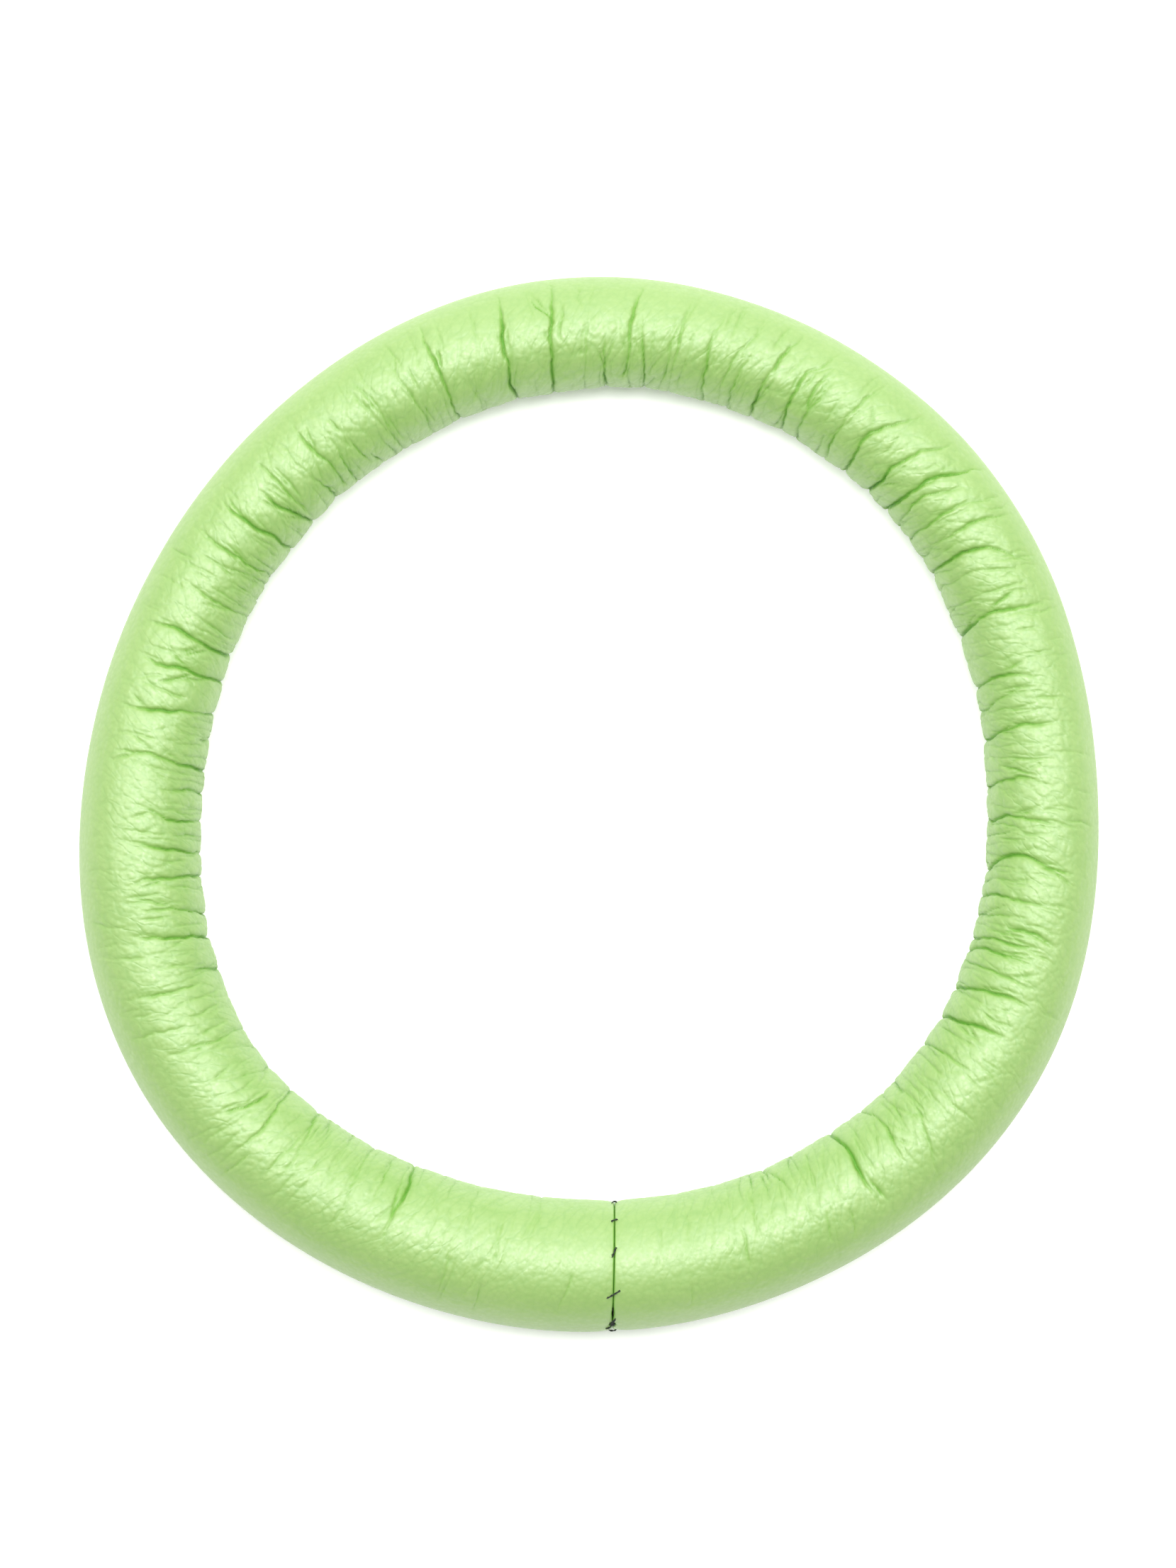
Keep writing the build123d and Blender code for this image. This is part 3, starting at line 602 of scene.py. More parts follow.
@dataclass
class PaddingPressure:
    """A cloth simulation of the leather, pushed out by its padding and held at its creases.

    It runs on a coarse copy of the sleeve, many times life size, which Blender's solver
    handles better. What it finds is how far the leather swells between its creases.

    Attributes:
        form: The ring.
        creases: The creases that hold the leather down.
        enlarged: How many times life size the copy is.
        rows: How many points the copy has along the ring.
        columns: How many points it has round the sleeve.
        frames: How many frames the simulation runs for.
        pressure: The padding's pressure, in the solver's own measure.
        edge_width: How far the leather is held on each side of the long seam, in degrees.
        rest_height: How far above the floor the leather is held.
        even_rows: How many rows count as one even stretch, whose swelling is taken off.
        gain: How much of the rest is used.
        most: The furthest that the leather may move, in millimetres.
    """

    form: RingForm
    creases: CreaseField
    enlarged: float = 20.0
    rows: int = 500
    columns: int = 46
    frames: int = 10
    pressure: float = 300.0
    edge_width: float = 6.0
    rest_height: float = 0.35
    even_rows: int = 41
    gain: float = 1.3
    most: float = 0.25

    def grid(self) -> tuple[np.ndarray, np.ndarray]:
        """Return the copy's angles round the ring and round the sleeve."""
        margin = self.creases.copy_margin
        angle = np.linspace(self.form.seam_at + margin, self.form.seam_at + 360 - margin, self.rows)
        return angle, np.arange(self.columns) * 360 / self.columns

    def copy(self) -> tuple[bpy.types.Object, np.ndarray]:
        """Make the coarse sleeve, with its held points in a vertex group.

        Returns:
            The sleeve, and each point's distance from the centre line in millimetres.
        """
        angle, turned = self.grid()
        height, held = self.creases.height(angle, turned)
        reach = self.form.sleeve(angle)[:, None] + height
        points = self.form.place(angle[:, None], reach, np.broadcast_to(turned, reach.shape))
        faces = sheet_faces(self.rows, self.columns, 0, closed=True)
        sleeve = add_mesh("pressure_copy", points.reshape(-1, 3) * self.enlarged, faces.tolist())
        held = np.clip((held - 0.15) * 2.2, 0, 1)
        held[[0, -1]] = 1.0
        from_long_seam = np.abs((turned - LONG_SEAM_AT + 180) % 360 - 180)
        held[:, from_long_seam < self.edge_width] = 1.0
        held[points[..., 2] < self.rest_height] = 1.0
        group = sleeve.vertex_groups.new(name="held")
        steps = np.round(held.ravel() * 10).astype(int)
        for step in range(1, 11):
            group.add(np.flatnonzero(steps == step).tolist(), step / 10, "REPLACE")
        return sleeve, reach

    def run(self) -> np.ndarray:
        """Run the simulation.

        Returns:
            How far each point of the coarse sleeve moves out, in millimetres.
        """
        sleeve, reach = self.copy()
        cloth = sleeve.modifiers.new("pressure", "CLOTH")
        cloth.settings.quality = 5
        cloth.settings.mass = 0.3
        cloth.settings.tension_stiffness = 8.0
        cloth.settings.compression_stiffness = 4.0
        cloth.settings.shear_stiffness = 4.0
        cloth.settings.bending_stiffness = 0.2
        cloth.settings.vertex_group_mass = "held"
        cloth.settings.use_pressure = True
        cloth.settings.uniform_pressure_force = self.pressure
        cloth.settings.effector_weights.gravity = 0.0
        cloth.collision_settings.use_collision = False
        scene = bpy.context.scene
        cloth.point_cache.frame_start = 1
        cloth.point_cache.frame_end = self.frames
        for number in range(1, self.frames + 1):
            scene.frame_set(number)
        graph = bpy.context.evaluated_depsgraph_get()
        moved = np.empty(self.rows * self.columns * 3, dtype=np.float32)
        sleeve.evaluated_get(graph).data.vertices.foreach_get("co", moved)
        scene.frame_set(1)
        bpy.data.objects.remove(sleeve)
        angle, turned = self.grid()
        moved = moved.reshape(self.rows, self.columns, 3) / (MM * self.enlarged)
        turn = np.radians(turned)[None, :, None]
        spoke = np.cos(turn) * self.form.outwards(angle)[:, None] + np.sin(turn) * UP
        out = ((moved - self.form.centre(angle)[:, None]) * spoke).sum(axis=-1) - reach
        LOG.info("padding pressure: swells by %.3f mm on average, %.3f mm at most", out.mean(), out.max())
        return self.uneven(out)

    def uneven(self, out: np.ndarray) -> np.ndarray:
        """Return the swelling without the solver's jitter, and without its even part.

        Args:
            out: How far each point moves out.

        Returns:
            How far each point stands above or below its stretch of the sleeve.
        """
        for _ in range(2):
            edged = np.pad(out, ((1, 1), (0, 0)), mode="edge")
            out = (edged[:-2] + 2 * out + edged[2:]) / 4
            out = (np.roll(out, 1, axis=1) + 2 * out + np.roll(out, -1, axis=1)) / 4
        half = self.even_rows // 2
        total = np.cumsum(np.pad(out, ((half + 1, half), (0, 0)), mode="edge"), axis=0)
        even = (total[self.even_rows :] - total[: -self.even_rows]) / self.even_rows
        return np.clip(self.gain * (out - even), -self.most, self.most)


@dataclass
class LeatherCover:
    """The sewn leather sleeve, creased on the ring's inner side, with its closing seam.

    Attributes:
        form: The ring.
        creases: The leather's creases.
        leather: The leather's thickness.
        closing_gap: The gap between the sleeve's two ends, which most of it is drawn over.
        lip: How far the leather rounds over at those ends.
        neck_depth: How far it dips towards them.
        neck_length: How far from them the dip starts.
        slant: How many degrees round the ring the closing seam slants to either side.
        long_seam_at: The long seam's angle round the sleeve.
        slit: The gap between the two turned-in edges.
        shoulder: The bend where the leather turns in.
        allowance: How deep the turned-in edges reach below the leather.
        step: The distance from one row of points to the next.
        columns: How many points a row has on the grain side.
        inner_columns: How many it has on the flesh side.
        seam_parts: Where the closing seam opens: the angle round the sleeve, its spread in
            degrees and how far each side draws back.
        seam_drawn: How far each side is drawn over the gap everywhere.
    """

    form: RingForm
    creases: CreaseField
    leather: float = 0.7
    closing_gap: float = 0.16
    lip: float = 0.12
    neck_depth: float = 0.17
    neck_length: float = 1.1
    slant: float = 0.47
    long_seam_at: float = LONG_SEAM_AT
    slit: float = 0.10
    shoulder: float = 0.3
    allowance: float = 1.25
    step: float = 0.095
    columns: int = 120
    inner_columns: int = 30
    seam_parts: tuple = ((46.0, 7.0, 0.075), (27.0, 4.0, 0.23), (4.0, 9.0, 0.03))
    seam_drawn: float = 0.068

    def rows(self) -> np.ndarray:
        """Return each row's distance along the ring from the closing seam's first side."""
        length = math.tau * self.form.ring_radius - self.closing_gap
        near = np.array((0.0, 0.008, 0.026, 0.055, 0.1, 0.16, 0.25, 0.37, 0.52, 0.68))
        even_from = 0.84
        count = round((length - 2 * even_from) / self.step)
        middle = np.linspace(even_from, length - even_from, count)
        return np.concatenate((near, middle, length - near[::-1]))

    def end_distance(self, rows: np.ndarray) -> np.ndarray:
        """Return each row's distance from the nearer side of the closing seam."""
        return np.minimum(rows, rows[-1] - rows)

    def skin_radius(self, angle: np.ndarray, away: np.ndarray) -> np.ndarray:
        """Return the plain sleeve's radius, with its dip and rounded lip at the seam.

        Args:
            angle: Angles round the ring.
            away: Distances from the closing seam.

        Returns:
            The radius at each.
        """
        dip = self.neck_depth * np.clip(1 - away / self.neck_length, 0, 1) ** 2
        over = np.clip(1 - away / self.lip, 0, 1)
        return self.form.sleeve(angle) - dip - self.lip * (1 - np.sqrt(1 - over**2))

    def seam_slant(self, turned: np.ndarray, away: np.ndarray) -> np.ndarray:
        """Return how far the leather near the closing seam is drawn round the ring.

        Args:
            turned: Angles round the sleeve.
            away: Distances from the closing seam.

        Returns:
            The angle round the ring to add, which puts the seam on a slant.
        """
        return -self.slant * np.cos(np.radians(turned)) * np.clip(1 - away / 9.0, 0, 1) ** 2

    def seam_opening(self, turned: np.ndarray) -> np.ndarray:
        """Return how far each side of the closing seam is drawn back, round the sleeve."""
        drawn = -self.seam_drawn
        for middle, width, most in self.seam_parts:
            away = (turned - middle + 180) % 360 - 180
            drawn = drawn + most * np.exp(-((away / width) ** 2))
        return drawn

    def section(self, angle: np.ndarray, away: np.ndarray, side: Side) -> tuple:
        """Return one face of the leather, from one turned-in edge round to the other.

        Args:
            angle: Angles round the ring, one for each row.
            away: Distances from the closing seam, one for each row.
            side: Which face of the leather.

        Returns:
            The points, how creased each is, which sets the painted crease shade and is full at the closing
            seam's lips, and its place on the leather: along its folds' slant, round the sleeve, and how
            tightly it is gathered.
        """
        plain = self.skin_radius(angle, away)[:, None]
        half = self.slit / 2
        grain = side is Side.GRAIN
        count = self.columns if grain else self.inner_columns
        start = half + self.shoulder if grain else half + self.leather
        reach = plain if grain else self.form.sleeve(angle)[:, None] - self.leather
        first = np.degrees(np.arcsin(start / reach.mean()))
        fan = np.linspace(0, 1, count)
        if grain:
            fan = fan + 0.075 * np.sin(math.tau * fan)
        fan = first + (360 - 2 * first) * fan
        turned = (fan + self.long_seam_at) % 360
        order = np.argsort(turned)
        height, depth = self.creases.height(angle, turned[order])
        back = np.argsort(order)
        height, depth = height[:, back], depth[:, back]
        # Painted shade: the lips at the closing seam count as fully creased, so the seam's groove gets the
        # painted crease shade.
        depth = np.maximum(depth, np.clip(1.1 - away / 0.10, 0, 1)[:, None])
        ends = np.clip(away / 2.5, 0, 1)[:, None]
        radius = reach + height * ends * (1.0 if grain else 0.8)
        x = radius * np.cos(np.radians(fan))
        y = radius * np.sin(np.radians(fan))
        tip = plain - self.leather - self.allowance + 0.5 * height[:, :1] * ends
        turn_x, turn_y, turn_depth = [], [], []
        for edge in (0, -1):
            sign = 1 if edge == 0 else -1
            xs, ys = [], []
            if grain:
                corner = x[:, edge : edge + 1 or None] - self.shoulder
                for share in (0.0, 0.33, 0.66, 1.0):
                    xs.append(tip + (corner - tip) * share)
                    ys.append(np.full_like(tip, half))
                for bend in (30.0, 60.0):
                    xs.append(corner + self.shoulder * math.sin(math.radians(bend)))
                    ys.append(np.full_like(tip, half + self.shoulder * (1 - math.cos(math.radians(bend)))))
            else:
                corner = x[:, edge : edge + 1 or None]
                for share in (0.0, 0.5):
                    xs.append(tip + (corner - tip) * share)
                    ys.append(np.full_like(tip, start))
            turn_x.append(np.concatenate(xs, axis=1))
            turn_y.append(np.concatenate(ys, axis=1) * sign)
            turn_depth.append(np.repeat(depth[:, edge : edge + 1 or None], len(xs), axis=1))
        x = np.concatenate((turn_x[0], x, turn_x[1][:, ::-1]), axis=1)
        y = np.concatenate((turn_y[0], y, turn_y[1][:, ::-1]), axis=1)
        depth = np.concatenate((turn_depth[0], depth, turn_depth[1]), axis=1)
        reach_out = np.hypot(x, y)
        round_by = (np.degrees(np.arctan2(y, x)) + self.long_seam_at) % 360
        shift = self.seam_opening(round_by) * np.clip(1 - away / 2.0, 0, 1)[:, None] ** 2
        toward = np.where(np.arange(len(angle)) < len(angle) / 2, 1.0, -1.0)[:, None]
        wide = angle[:, None] + self.form.turn_for(shift * toward) + self.seam_slant(round_by, away[:, None])
        points = self.form.place(wide, reach_out, round_by)
        points[..., 2] = np.maximum(points[..., 2], 0.0 if grain else self.leather * 0.8)
        calm = 0.3 + 0.7 * np.clip((away - 2) / 14, 0, 1)[:, None]
        inner = (1 - np.cos(np.radians(round_by))) / 2 * calm
        run = self.creases.slanted(np.broadcast_to(angle[:, None], round_by.shape), round_by)
        sheet = np.stack((run, np.radians(round_by) * self.form.sleeve_radius, inner), axis=-1)
        return points, depth, sheet

    def build(self) -> bpy.types.Object:
        """Make the sleeve as one closed piece of leather.

        Returns:
            The piece.
        """
        rows = self.rows()
        away = self.end_distance(rows)
        angle = self.form.seam_at + self.form.turn_for(self.closing_gap / 2 + rows)
        skin, skin_depth, skin_sheet = self.section(angle, away, Side.GRAIN)
        flesh, flesh_depth, flesh_sheet = self.section(angle, away, Side.FLESH)
        rows_n, skin_n, flesh_n = len(rows), skin.shape[1], flesh.shape[1]
        flesh_first = rows_n * skin_n
        at_skin = np.arange(flesh_first).reshape(rows_n, skin_n)
        at_flesh = flesh_first + np.arange(rows_n * flesh_n).reshape(rows_n, flesh_n)
        outside = sheet_faces(rows_n, skin_n, 0)
        inside = sheet_faces(rows_n, flesh_n, flesh_first, inward=True)
        low = np.stack((at_skin[:-1, 0], at_skin[1:, 0], at_flesh[1:, 0], at_flesh[:-1, 0]), axis=-1)
        high = np.stack((at_skin[:-1, -1], at_flesh[:-1, -1], at_flesh[1:, -1], at_skin[1:, -1]), axis=-1)
        faces = np.concatenate((outside, inside, low[:, ::-1], high[:, ::-1])).tolist()
        faces += bridge(at_skin[0], at_flesh[0], False)
        faces += bridge(at_skin[-1], at_flesh[-1], True)
        points = np.concatenate((skin.reshape(-1, 3), flesh.reshape(-1, 3)))
        piece = add_mesh("leather_sleeve", points, faces)
        mesh = piece.data
        # The crease attribute carries the painted crease shade, full at the closing seam's lips.
        depth = np.concatenate((skin_depth.ravel(), flesh_depth.ravel())).astype(np.float32)
        mesh.attributes.new("crease", "FLOAT", "POINT").data.foreach_set("value", depth)
        sheet = np.concatenate((skin_sheet.reshape(-1, 3), flesh_sheet.reshape(-1, 3)))
        layer = mesh.attributes.new("sheet", "FLOAT_VECTOR", "POINT")
        layer.data.foreach_set("vector", sheet.astype(np.float32).ravel())
        faces_skin = len(outside)
        slots = np.ones(len(mesh.polygons), dtype=np.int32)
        slots[:faces_skin] = 0
        mesh.polygons.foreach_set("material_index", slots)
        LOG.info("leather_sleeve: %d points", len(points))
        return piece


class NodeTree:
    """A short way to lay out a node tree."""

    def __init__(self, tree: bpy.types.NodeTree) -> None:
        """Keep the tree and empty it."""
        self.tree = tree
        tree.nodes.clear()

    def add(self, kind: str, links: dict | None = None, **values: object) -> bpy.types.Node:
        """Add a node.

        Args:
            kind: The node's type.
            links: Input names or numbers, each with an output socket or a plain value.
            **values: Properties to set on the node before its inputs.

        Returns:
            The node.
        """
        node = self.tree.nodes.new(kind)
        for key, value in values.items():
            setattr(node, key, value)
        for key, value in (links or {}).items():
            if isinstance(value, bpy.types.NodeSocket):
                self.tree.links.new(value, node.inputs[key])
            else:
                node.inputs[key].default_value = value
        return node


@dataclass(frozen=True)
class LeatherFinish:
    """Smooth-coated soft leather with a fine pebble grain.

    Attributes:
        name: The material's name.
        body: The leather's usual colour.
        pale: Its paler colour, which comes and goes in clouds.
        valley: Painted shade: the darker, more saturated green painted into creases, small folds and the
            grain's hollows, where shade falls.
        grain: The size of the grain's pebbles.
        grain_height: How high they stand.
        pore_scale: How many pores there are to a metre.
        cloud_scale: How many clouds there are to a metre.
        waver_scale: How many wavers of the small folds there are to a metre.
        fold_gap: The distance between small folds.
        fold_length: The length of a small fold.
        fold_depth: The depth of a small fold.
        ior: The coating's index of refraction.
    """

    name: str = "cover_leather"
    body: tuple = (0.235, 0.407, 0.085, 1.0)
    pale: tuple = (0.282, 0.448, 0.117, 1.0)
    valley: tuple = (0.105, 0.305, 0.030, 1.0)
    grain: float = 0.42
    grain_height: float = 0.028
    pore_scale: float = 4200.0
    cloud_scale: float = 130.0
    waver_scale: float = 620.0
    fold_gap: float = 0.95
    fold_length: float = 2.1
    fold_depth: float = 0.013
    ior: float = 1.68

    def make(self) -> bpy.types.Material:
        """Build the material.

        Returns:
            The material.
        """
        material = bpy.data.materials.new(self.name)
        material.use_nodes = True
        nodes = NodeTree(material.node_tree)
        place = nodes.add("ShaderNodeTexCoord").outputs["Object"]
        crease = nodes.add("ShaderNodeAttribute", attribute_name="crease").outputs["Fac"]
        grain = nodes.add(
            "ShaderNodeTexVoronoi",
            {"Vector": place, "Scale": 1000 / self.grain, "Smoothness": 0.45},
            feature="SMOOTH_F1",
        ).outputs["Distance"]
        pores = nodes.add(
            "ShaderNodeTexNoise", {"Vector": place, "Scale": self.pore_scale, "Detail": 2.0}
        ).outputs["Fac"]
        clouds = nodes.add(
            "ShaderNodeTexNoise", {"Vector": place, "Scale": self.cloud_scale, "Detail": 3.0}
        ).outputs["Fac"]
        sheet = nodes.add("ShaderNodeAttribute", attribute_name="sheet").outputs["Vector"]
        inner = nodes.add("ShaderNodeSeparateXYZ", {0: sheet}).outputs[2]
        waver = nodes.add(
            "ShaderNodeTexNoise", {"Vector": place, "Scale": self.waver_scale, "Detail": 2.0}
        )
        size = (1 / self.fold_gap, 1 / self.fold_length, 0.0)
        spot = nodes.add(
            "ShaderNodeVectorMath", {0: sheet, 1: size, 2: waver.outputs["Color"]}, operation="MULTIPLY_ADD"
        ).outputs[0]
        folds = nodes.add(
            "ShaderNodeTexVoronoi",
            {"Vector": spot, "Scale": 1.0},
            feature="DISTANCE_TO_EDGE",
            voronoi_dimensions="2D",
        ).outputs["Distance"]
        fold = nodes.add("ShaderNodeMapRange", {0: folds, 1: 0.0, 2: 0.16, 3: 1.0, 4: 0.0}).outputs[0]
        reach = nodes.add("ShaderNodeMapRange", {0: inner, 1: 0.03, 2: 0.40, 3: 0.0, 4: 1.0}).outputs[0]
        fold = nodes.add("ShaderNodeMath", {0: fold, 1: reach}, operation="MULTIPLY").outputs[0]
        tone = nodes.add("ShaderNodeMix", {6: self.body, 7: self.pale, 0: clouds}, data_type="RGBA")
        # Painted shade: the grain's hollows are mixed up to 16 per cent towards the valley colour.
        hollow = nodes.add("ShaderNodeMapRange", {0: grain, 1: 0.25, 2: 0.75, 3: 0.0, 4: 0.16})
        tone_with_hollow_shade = nodes.add(
            "ShaderNodeMix", {6: tone.outputs[2], 7: self.valley, 0: hollow.outputs[0]}, data_type="RGBA"
        )
        # Painted shade: small folds, and creases by their crease attribute, are mixed towards the valley
        # colour.
        folded = nodes.add("ShaderNodeMath", {0: fold, 1: 0.22}, operation="MULTIPLY").outputs[0]
        deep = nodes.add("ShaderNodeMath", {0: crease, 1: folded}, operation="MAXIMUM", use_clamp=True)
        gloss = nodes.add("ShaderNodeMapRange", {0: crease, 1: 0.0, 2: 0.5, 3: 1.0, 4: 0.2})
        # The leather's colour with the painted crease shade mixed in by the deep mask.
        colour = nodes.add(
            "ShaderNodeMix", {6: tone_with_hollow_shade.outputs[2], 7: self.valley, 0: deep.outputs[0]}, data_type="RGBA"
        )
        rough = nodes.add("ShaderNodeMapRange", {0: pores, 1: 0.3, 2: 0.7, 3: 0.45, 4: 0.58})
        fine = nodes.add(
            "ShaderNodeBump",
            {"Height": pores, "Distance": 0.006 * MM, "Strength": 1.0},
        )
        pebble = nodes.add(
            "ShaderNodeBump",
            {"Height": grain, "Distance": self.grain_height * MM, "Strength": 1.0, "Normal": fine.outputs[0]},
            invert=True,
        )
        wrinkle = nodes.add(
            "ShaderNodeBump",
            {"Height": fold, "Distance": self.fold_depth * MM, "Strength": 1.0, "Normal": pebble.outputs[0]},
            invert=True,
        )
        shader = nodes.add(
            "ShaderNodeBsdfPrincipled",
            {
                "Base Color": colour.outputs[2],
                "Roughness": rough.outputs[0],
                "Normal": wrinkle.outputs[0],
                "IOR": self.ior,
                "Specular IOR Level": gloss.outputs[0],
            },
        )
        nodes.add("ShaderNodeOutputMaterial", {"Surface": shader.outputs[0]})
        return material


@dataclass(frozen=True)
class PlainFinish:
    """A finish with a slightly mottled colour and a fine bump, for hidden and small pieces.

    Attributes:
        name: The material's name.
        dark: The mottling's darker colour.
        light: Its lighter colour.
        roughness: How rough the surface is, from 0 to 1.
        mottle: The size of the mottling.
        bump: How high its bumps stand.
    """

    name: str
    dark: tuple
    light: tuple
    roughness: float
    mottle: float
    bump: float

    def make(self) -> bpy.types.Material:
        """Build the material.

        Returns:
            The material.
        """
        material = bpy.data.materials.new(self.name)
        material.use_nodes = True
        nodes = NodeTree(material.node_tree)
        place = nodes.add("ShaderNodeTexCoord").outputs["Object"]
        noise = nodes.add(
            "ShaderNodeTexNoise", {"Vector": place, "Scale": 1000 / self.mottle, "Detail": 3.0}
        ).outputs["Fac"]
        colour = nodes.add("ShaderNodeMix", {6: self.dark, 7: self.light, 0: noise}, data_type="RGBA")
        bump = nodes.add("ShaderNodeBump", {"Height": noise, "Distance": self.bump * MM, "Strength": 1.0})
        shader = nodes.add(
            "ShaderNodeBsdfPrincipled",
            {"Base Color": colour.outputs[2], "Roughness": self.roughness, "Normal": bump.outputs[0]},
        )
        nodes.add("ShaderNodeOutputMaterial", {"Surface": shader.outputs[0]})
        return material


FLESH_SIDE = PlainFinish(
    "cover_flesh",
    dark=(0.30, 0.42, 0.16, 1),
    light=(0.42, 0.55, 0.25, 1),
    roughness=0.9,
    mottle=0.5,
    bump=0.03,
)
HAND_THREAD = PlainFinish(
    "hand_thread",
    dark=(0.005, 0.010, 0.006, 1),
    light=(0.035, 0.045, 0.036, 1),
    roughness=0.7,
    mottle=0.12,
    bump=0.01,
)
MACHINE_THREAD = PlainFinish(
    "machine_thread",
    dark=(0.26, 0.44, 0.12, 1),
    light=(0.40, 0.60, 0.22, 1),
    roughness=0.6,
    mottle=0.15,
    bump=0.01,
)
FOAM = PlainFinish(
    "foam",
    dark=(0.66, 0.64, 0.55, 1),
    light=(0.86, 0.85, 0.78, 1),
    roughness=0.95,
    mottle=0.35,
    bump=0.09,
)
CLOTH_TAPE = PlainFinish(
    "cloth_tape",
    dark=(0.58, 0.55, 0.46, 1),
    light=(0.78, 0.75, 0.66, 1),
    roughness=0.85,
    mottle=0.25,
    bump=0.04,
)
TUBE_PLASTIC = PlainFinish(
    "tube_plastic",
    dark=(0.66, 0.69, 0.69, 1),
    light=(0.80, 0.82, 0.82, 1),
    roughness=0.35,
    mottle=2.0,
    bump=0.01,
)
ROD_PLASTIC = PlainFinish(
    "rod_plastic",
    dark=(0.52, 0.52, 0.50, 1),
    light=(0.68, 0.68, 0.65, 1),
    roughness=0.45,
    mottle=1.0,
    bump=0.01,
)


@dataclass
class ThreadTree:
    """A node tree that turns a curve into a twisted two-ply thread with loose fibres."""

    name: str = "thread"

    def build(self) -> bpy.types.NodeTree:
        """Build the tree.

        Returns:
            The tree, with inputs Ply Radius, Twist, Fibres, Fibre Length, Seed and Material.
        """
        tree = bpy.data.node_groups.new(self.name, "GeometryNodeTree")
        nodes = NodeTree(tree)
        make = tree.interface.new_socket
        make("Geometry", in_out="OUTPUT", socket_type="NodeSocketGeometry")
        make("Geometry", in_out="INPUT", socket_type="NodeSocketGeometry")
        make("Ply Radius", in_out="INPUT", socket_type="NodeSocketFloat")
        make("Twist", in_out="INPUT", socket_type="NodeSocketFloat")
        make("Fibres", in_out="INPUT", socket_type="NodeSocketInt")
        make("Fibre Length", in_out="INPUT", socket_type="NodeSocketFloat")
        make("Seed", in_out="INPUT", socket_type="NodeSocketInt")
        make("Material", in_out="INPUT", socket_type="NodeSocketMaterial")
        given = nodes.add("NodeGroupInput").outputs
        even = nodes.add(
            "GeometryNodeResampleCurve", {"Curve": given["Geometry"], "Length": 0.055 * MM}, mode="LENGTH"
        ).outputs[0]
        run = nodes.add("GeometryNodeSplineParameter").outputs["Length"]
        turn = nodes.add("ShaderNodeMath", {0: run, 1: given["Twist"]}, operation="MULTIPLY").outputs[0]
        tilted = nodes.add("GeometryNodeSetCurveTilt", {"Curve": even, "Tilt": turn}).outputs[0]
        ring = nodes.add(
            "GeometryNodeCurvePrimitiveCircle", {"Resolution": 8, "Radius": given["Ply Radius"]}
        ).outputs[0]
        side = nodes.add("ShaderNodeCombineXYZ", {0: given["Ply Radius"]}).outputs[0]
        other = nodes.add("ShaderNodeVectorMath", {0: side, 1: (-1, 0, 0)}, operation="MULTIPLY").outputs[0]
        plies = nodes.add("GeometryNodeJoinGeometry").inputs[0]
        for offset in (side, other):
            moved = nodes.add("GeometryNodeTransform", {"Geometry": ring, "Translation": offset})
            tree.links.new(moved.outputs[0], plies)
        strand = nodes.add(
            "GeometryNodeCurveToMesh",
            {"Curve": tilted, "Profile Curve": plies.node.outputs[0], "Fill Caps": True},
        ).outputs[0]
        spots = nodes.add("GeometryNodeResampleCurve", {"Curve": given["Geometry"], "Count": given["Fibres"]})
        spots = nodes.add("GeometryNodeCurveToPoints", {"Curve": spots.outputs[0]}, mode="EVALUATED")
        hair = nodes.add(
            "GeometryNodeCurvePrimitiveBezierSegment",
            {
                "Resolution": 6,
                "Start": (0, 0, 0),
                "Start Handle": (0, 0, 0.4),
                "End Handle": (0.15, 0.1, 0.8),
                "End": (0.42, 0.12, 1.0),
            },
        ).outputs[0]
        thin = nodes.add("GeometryNodeCurvePrimitiveCircle", {"Resolution": 4, "Radius": 0.022}).outputs[0]
        hair = nodes.add(
            "GeometryNodeCurveToMesh", {"Curve": hair, "Profile Curve": thin, "Fill Caps": True}
        ).outputs[0]
        spin = nodes.add(
            "FunctionNodeRandomValue",
            {0: (-0.9, -0.9, 0.0), 1: (0.9, 0.9, math.tau), "Seed": given["Seed"]},
            data_type="FLOAT_VECTOR",
        ).outputs[0]
        size = nodes.add(
            "FunctionNodeRandomValue", {2: 0.35, 3: 1.0, "Seed": given["Seed"]}, data_type="FLOAT"
        ).outputs[1]
        size = nodes.add(
            "ShaderNodeMath", {0: size, 1: given["Fibre Length"]}, operation="MULTIPLY"
        ).outputs[0]
        fuzz = nodes.add(
            "GeometryNodeInstanceOnPoints",
            {"Points": spots.outputs[0], "Instance": hair, "Rotation": spin, "Scale": size},
        ).outputs[0]
        both = nodes.add("GeometryNodeJoinGeometry").inputs[0]
        tree.links.new(fuzz, both)
        tree.links.new(strand, both)
        real = nodes.add("GeometryNodeRealizeInstances", {"Geometry": both.node.outputs[0]}).outputs[0]
        done = nodes.add("GeometryNodeSetMaterial", {"Geometry": real, "Material": given["Material"]})
        nodes.add("NodeGroupOutput", {"Geometry": done.outputs[0]})
        return tree


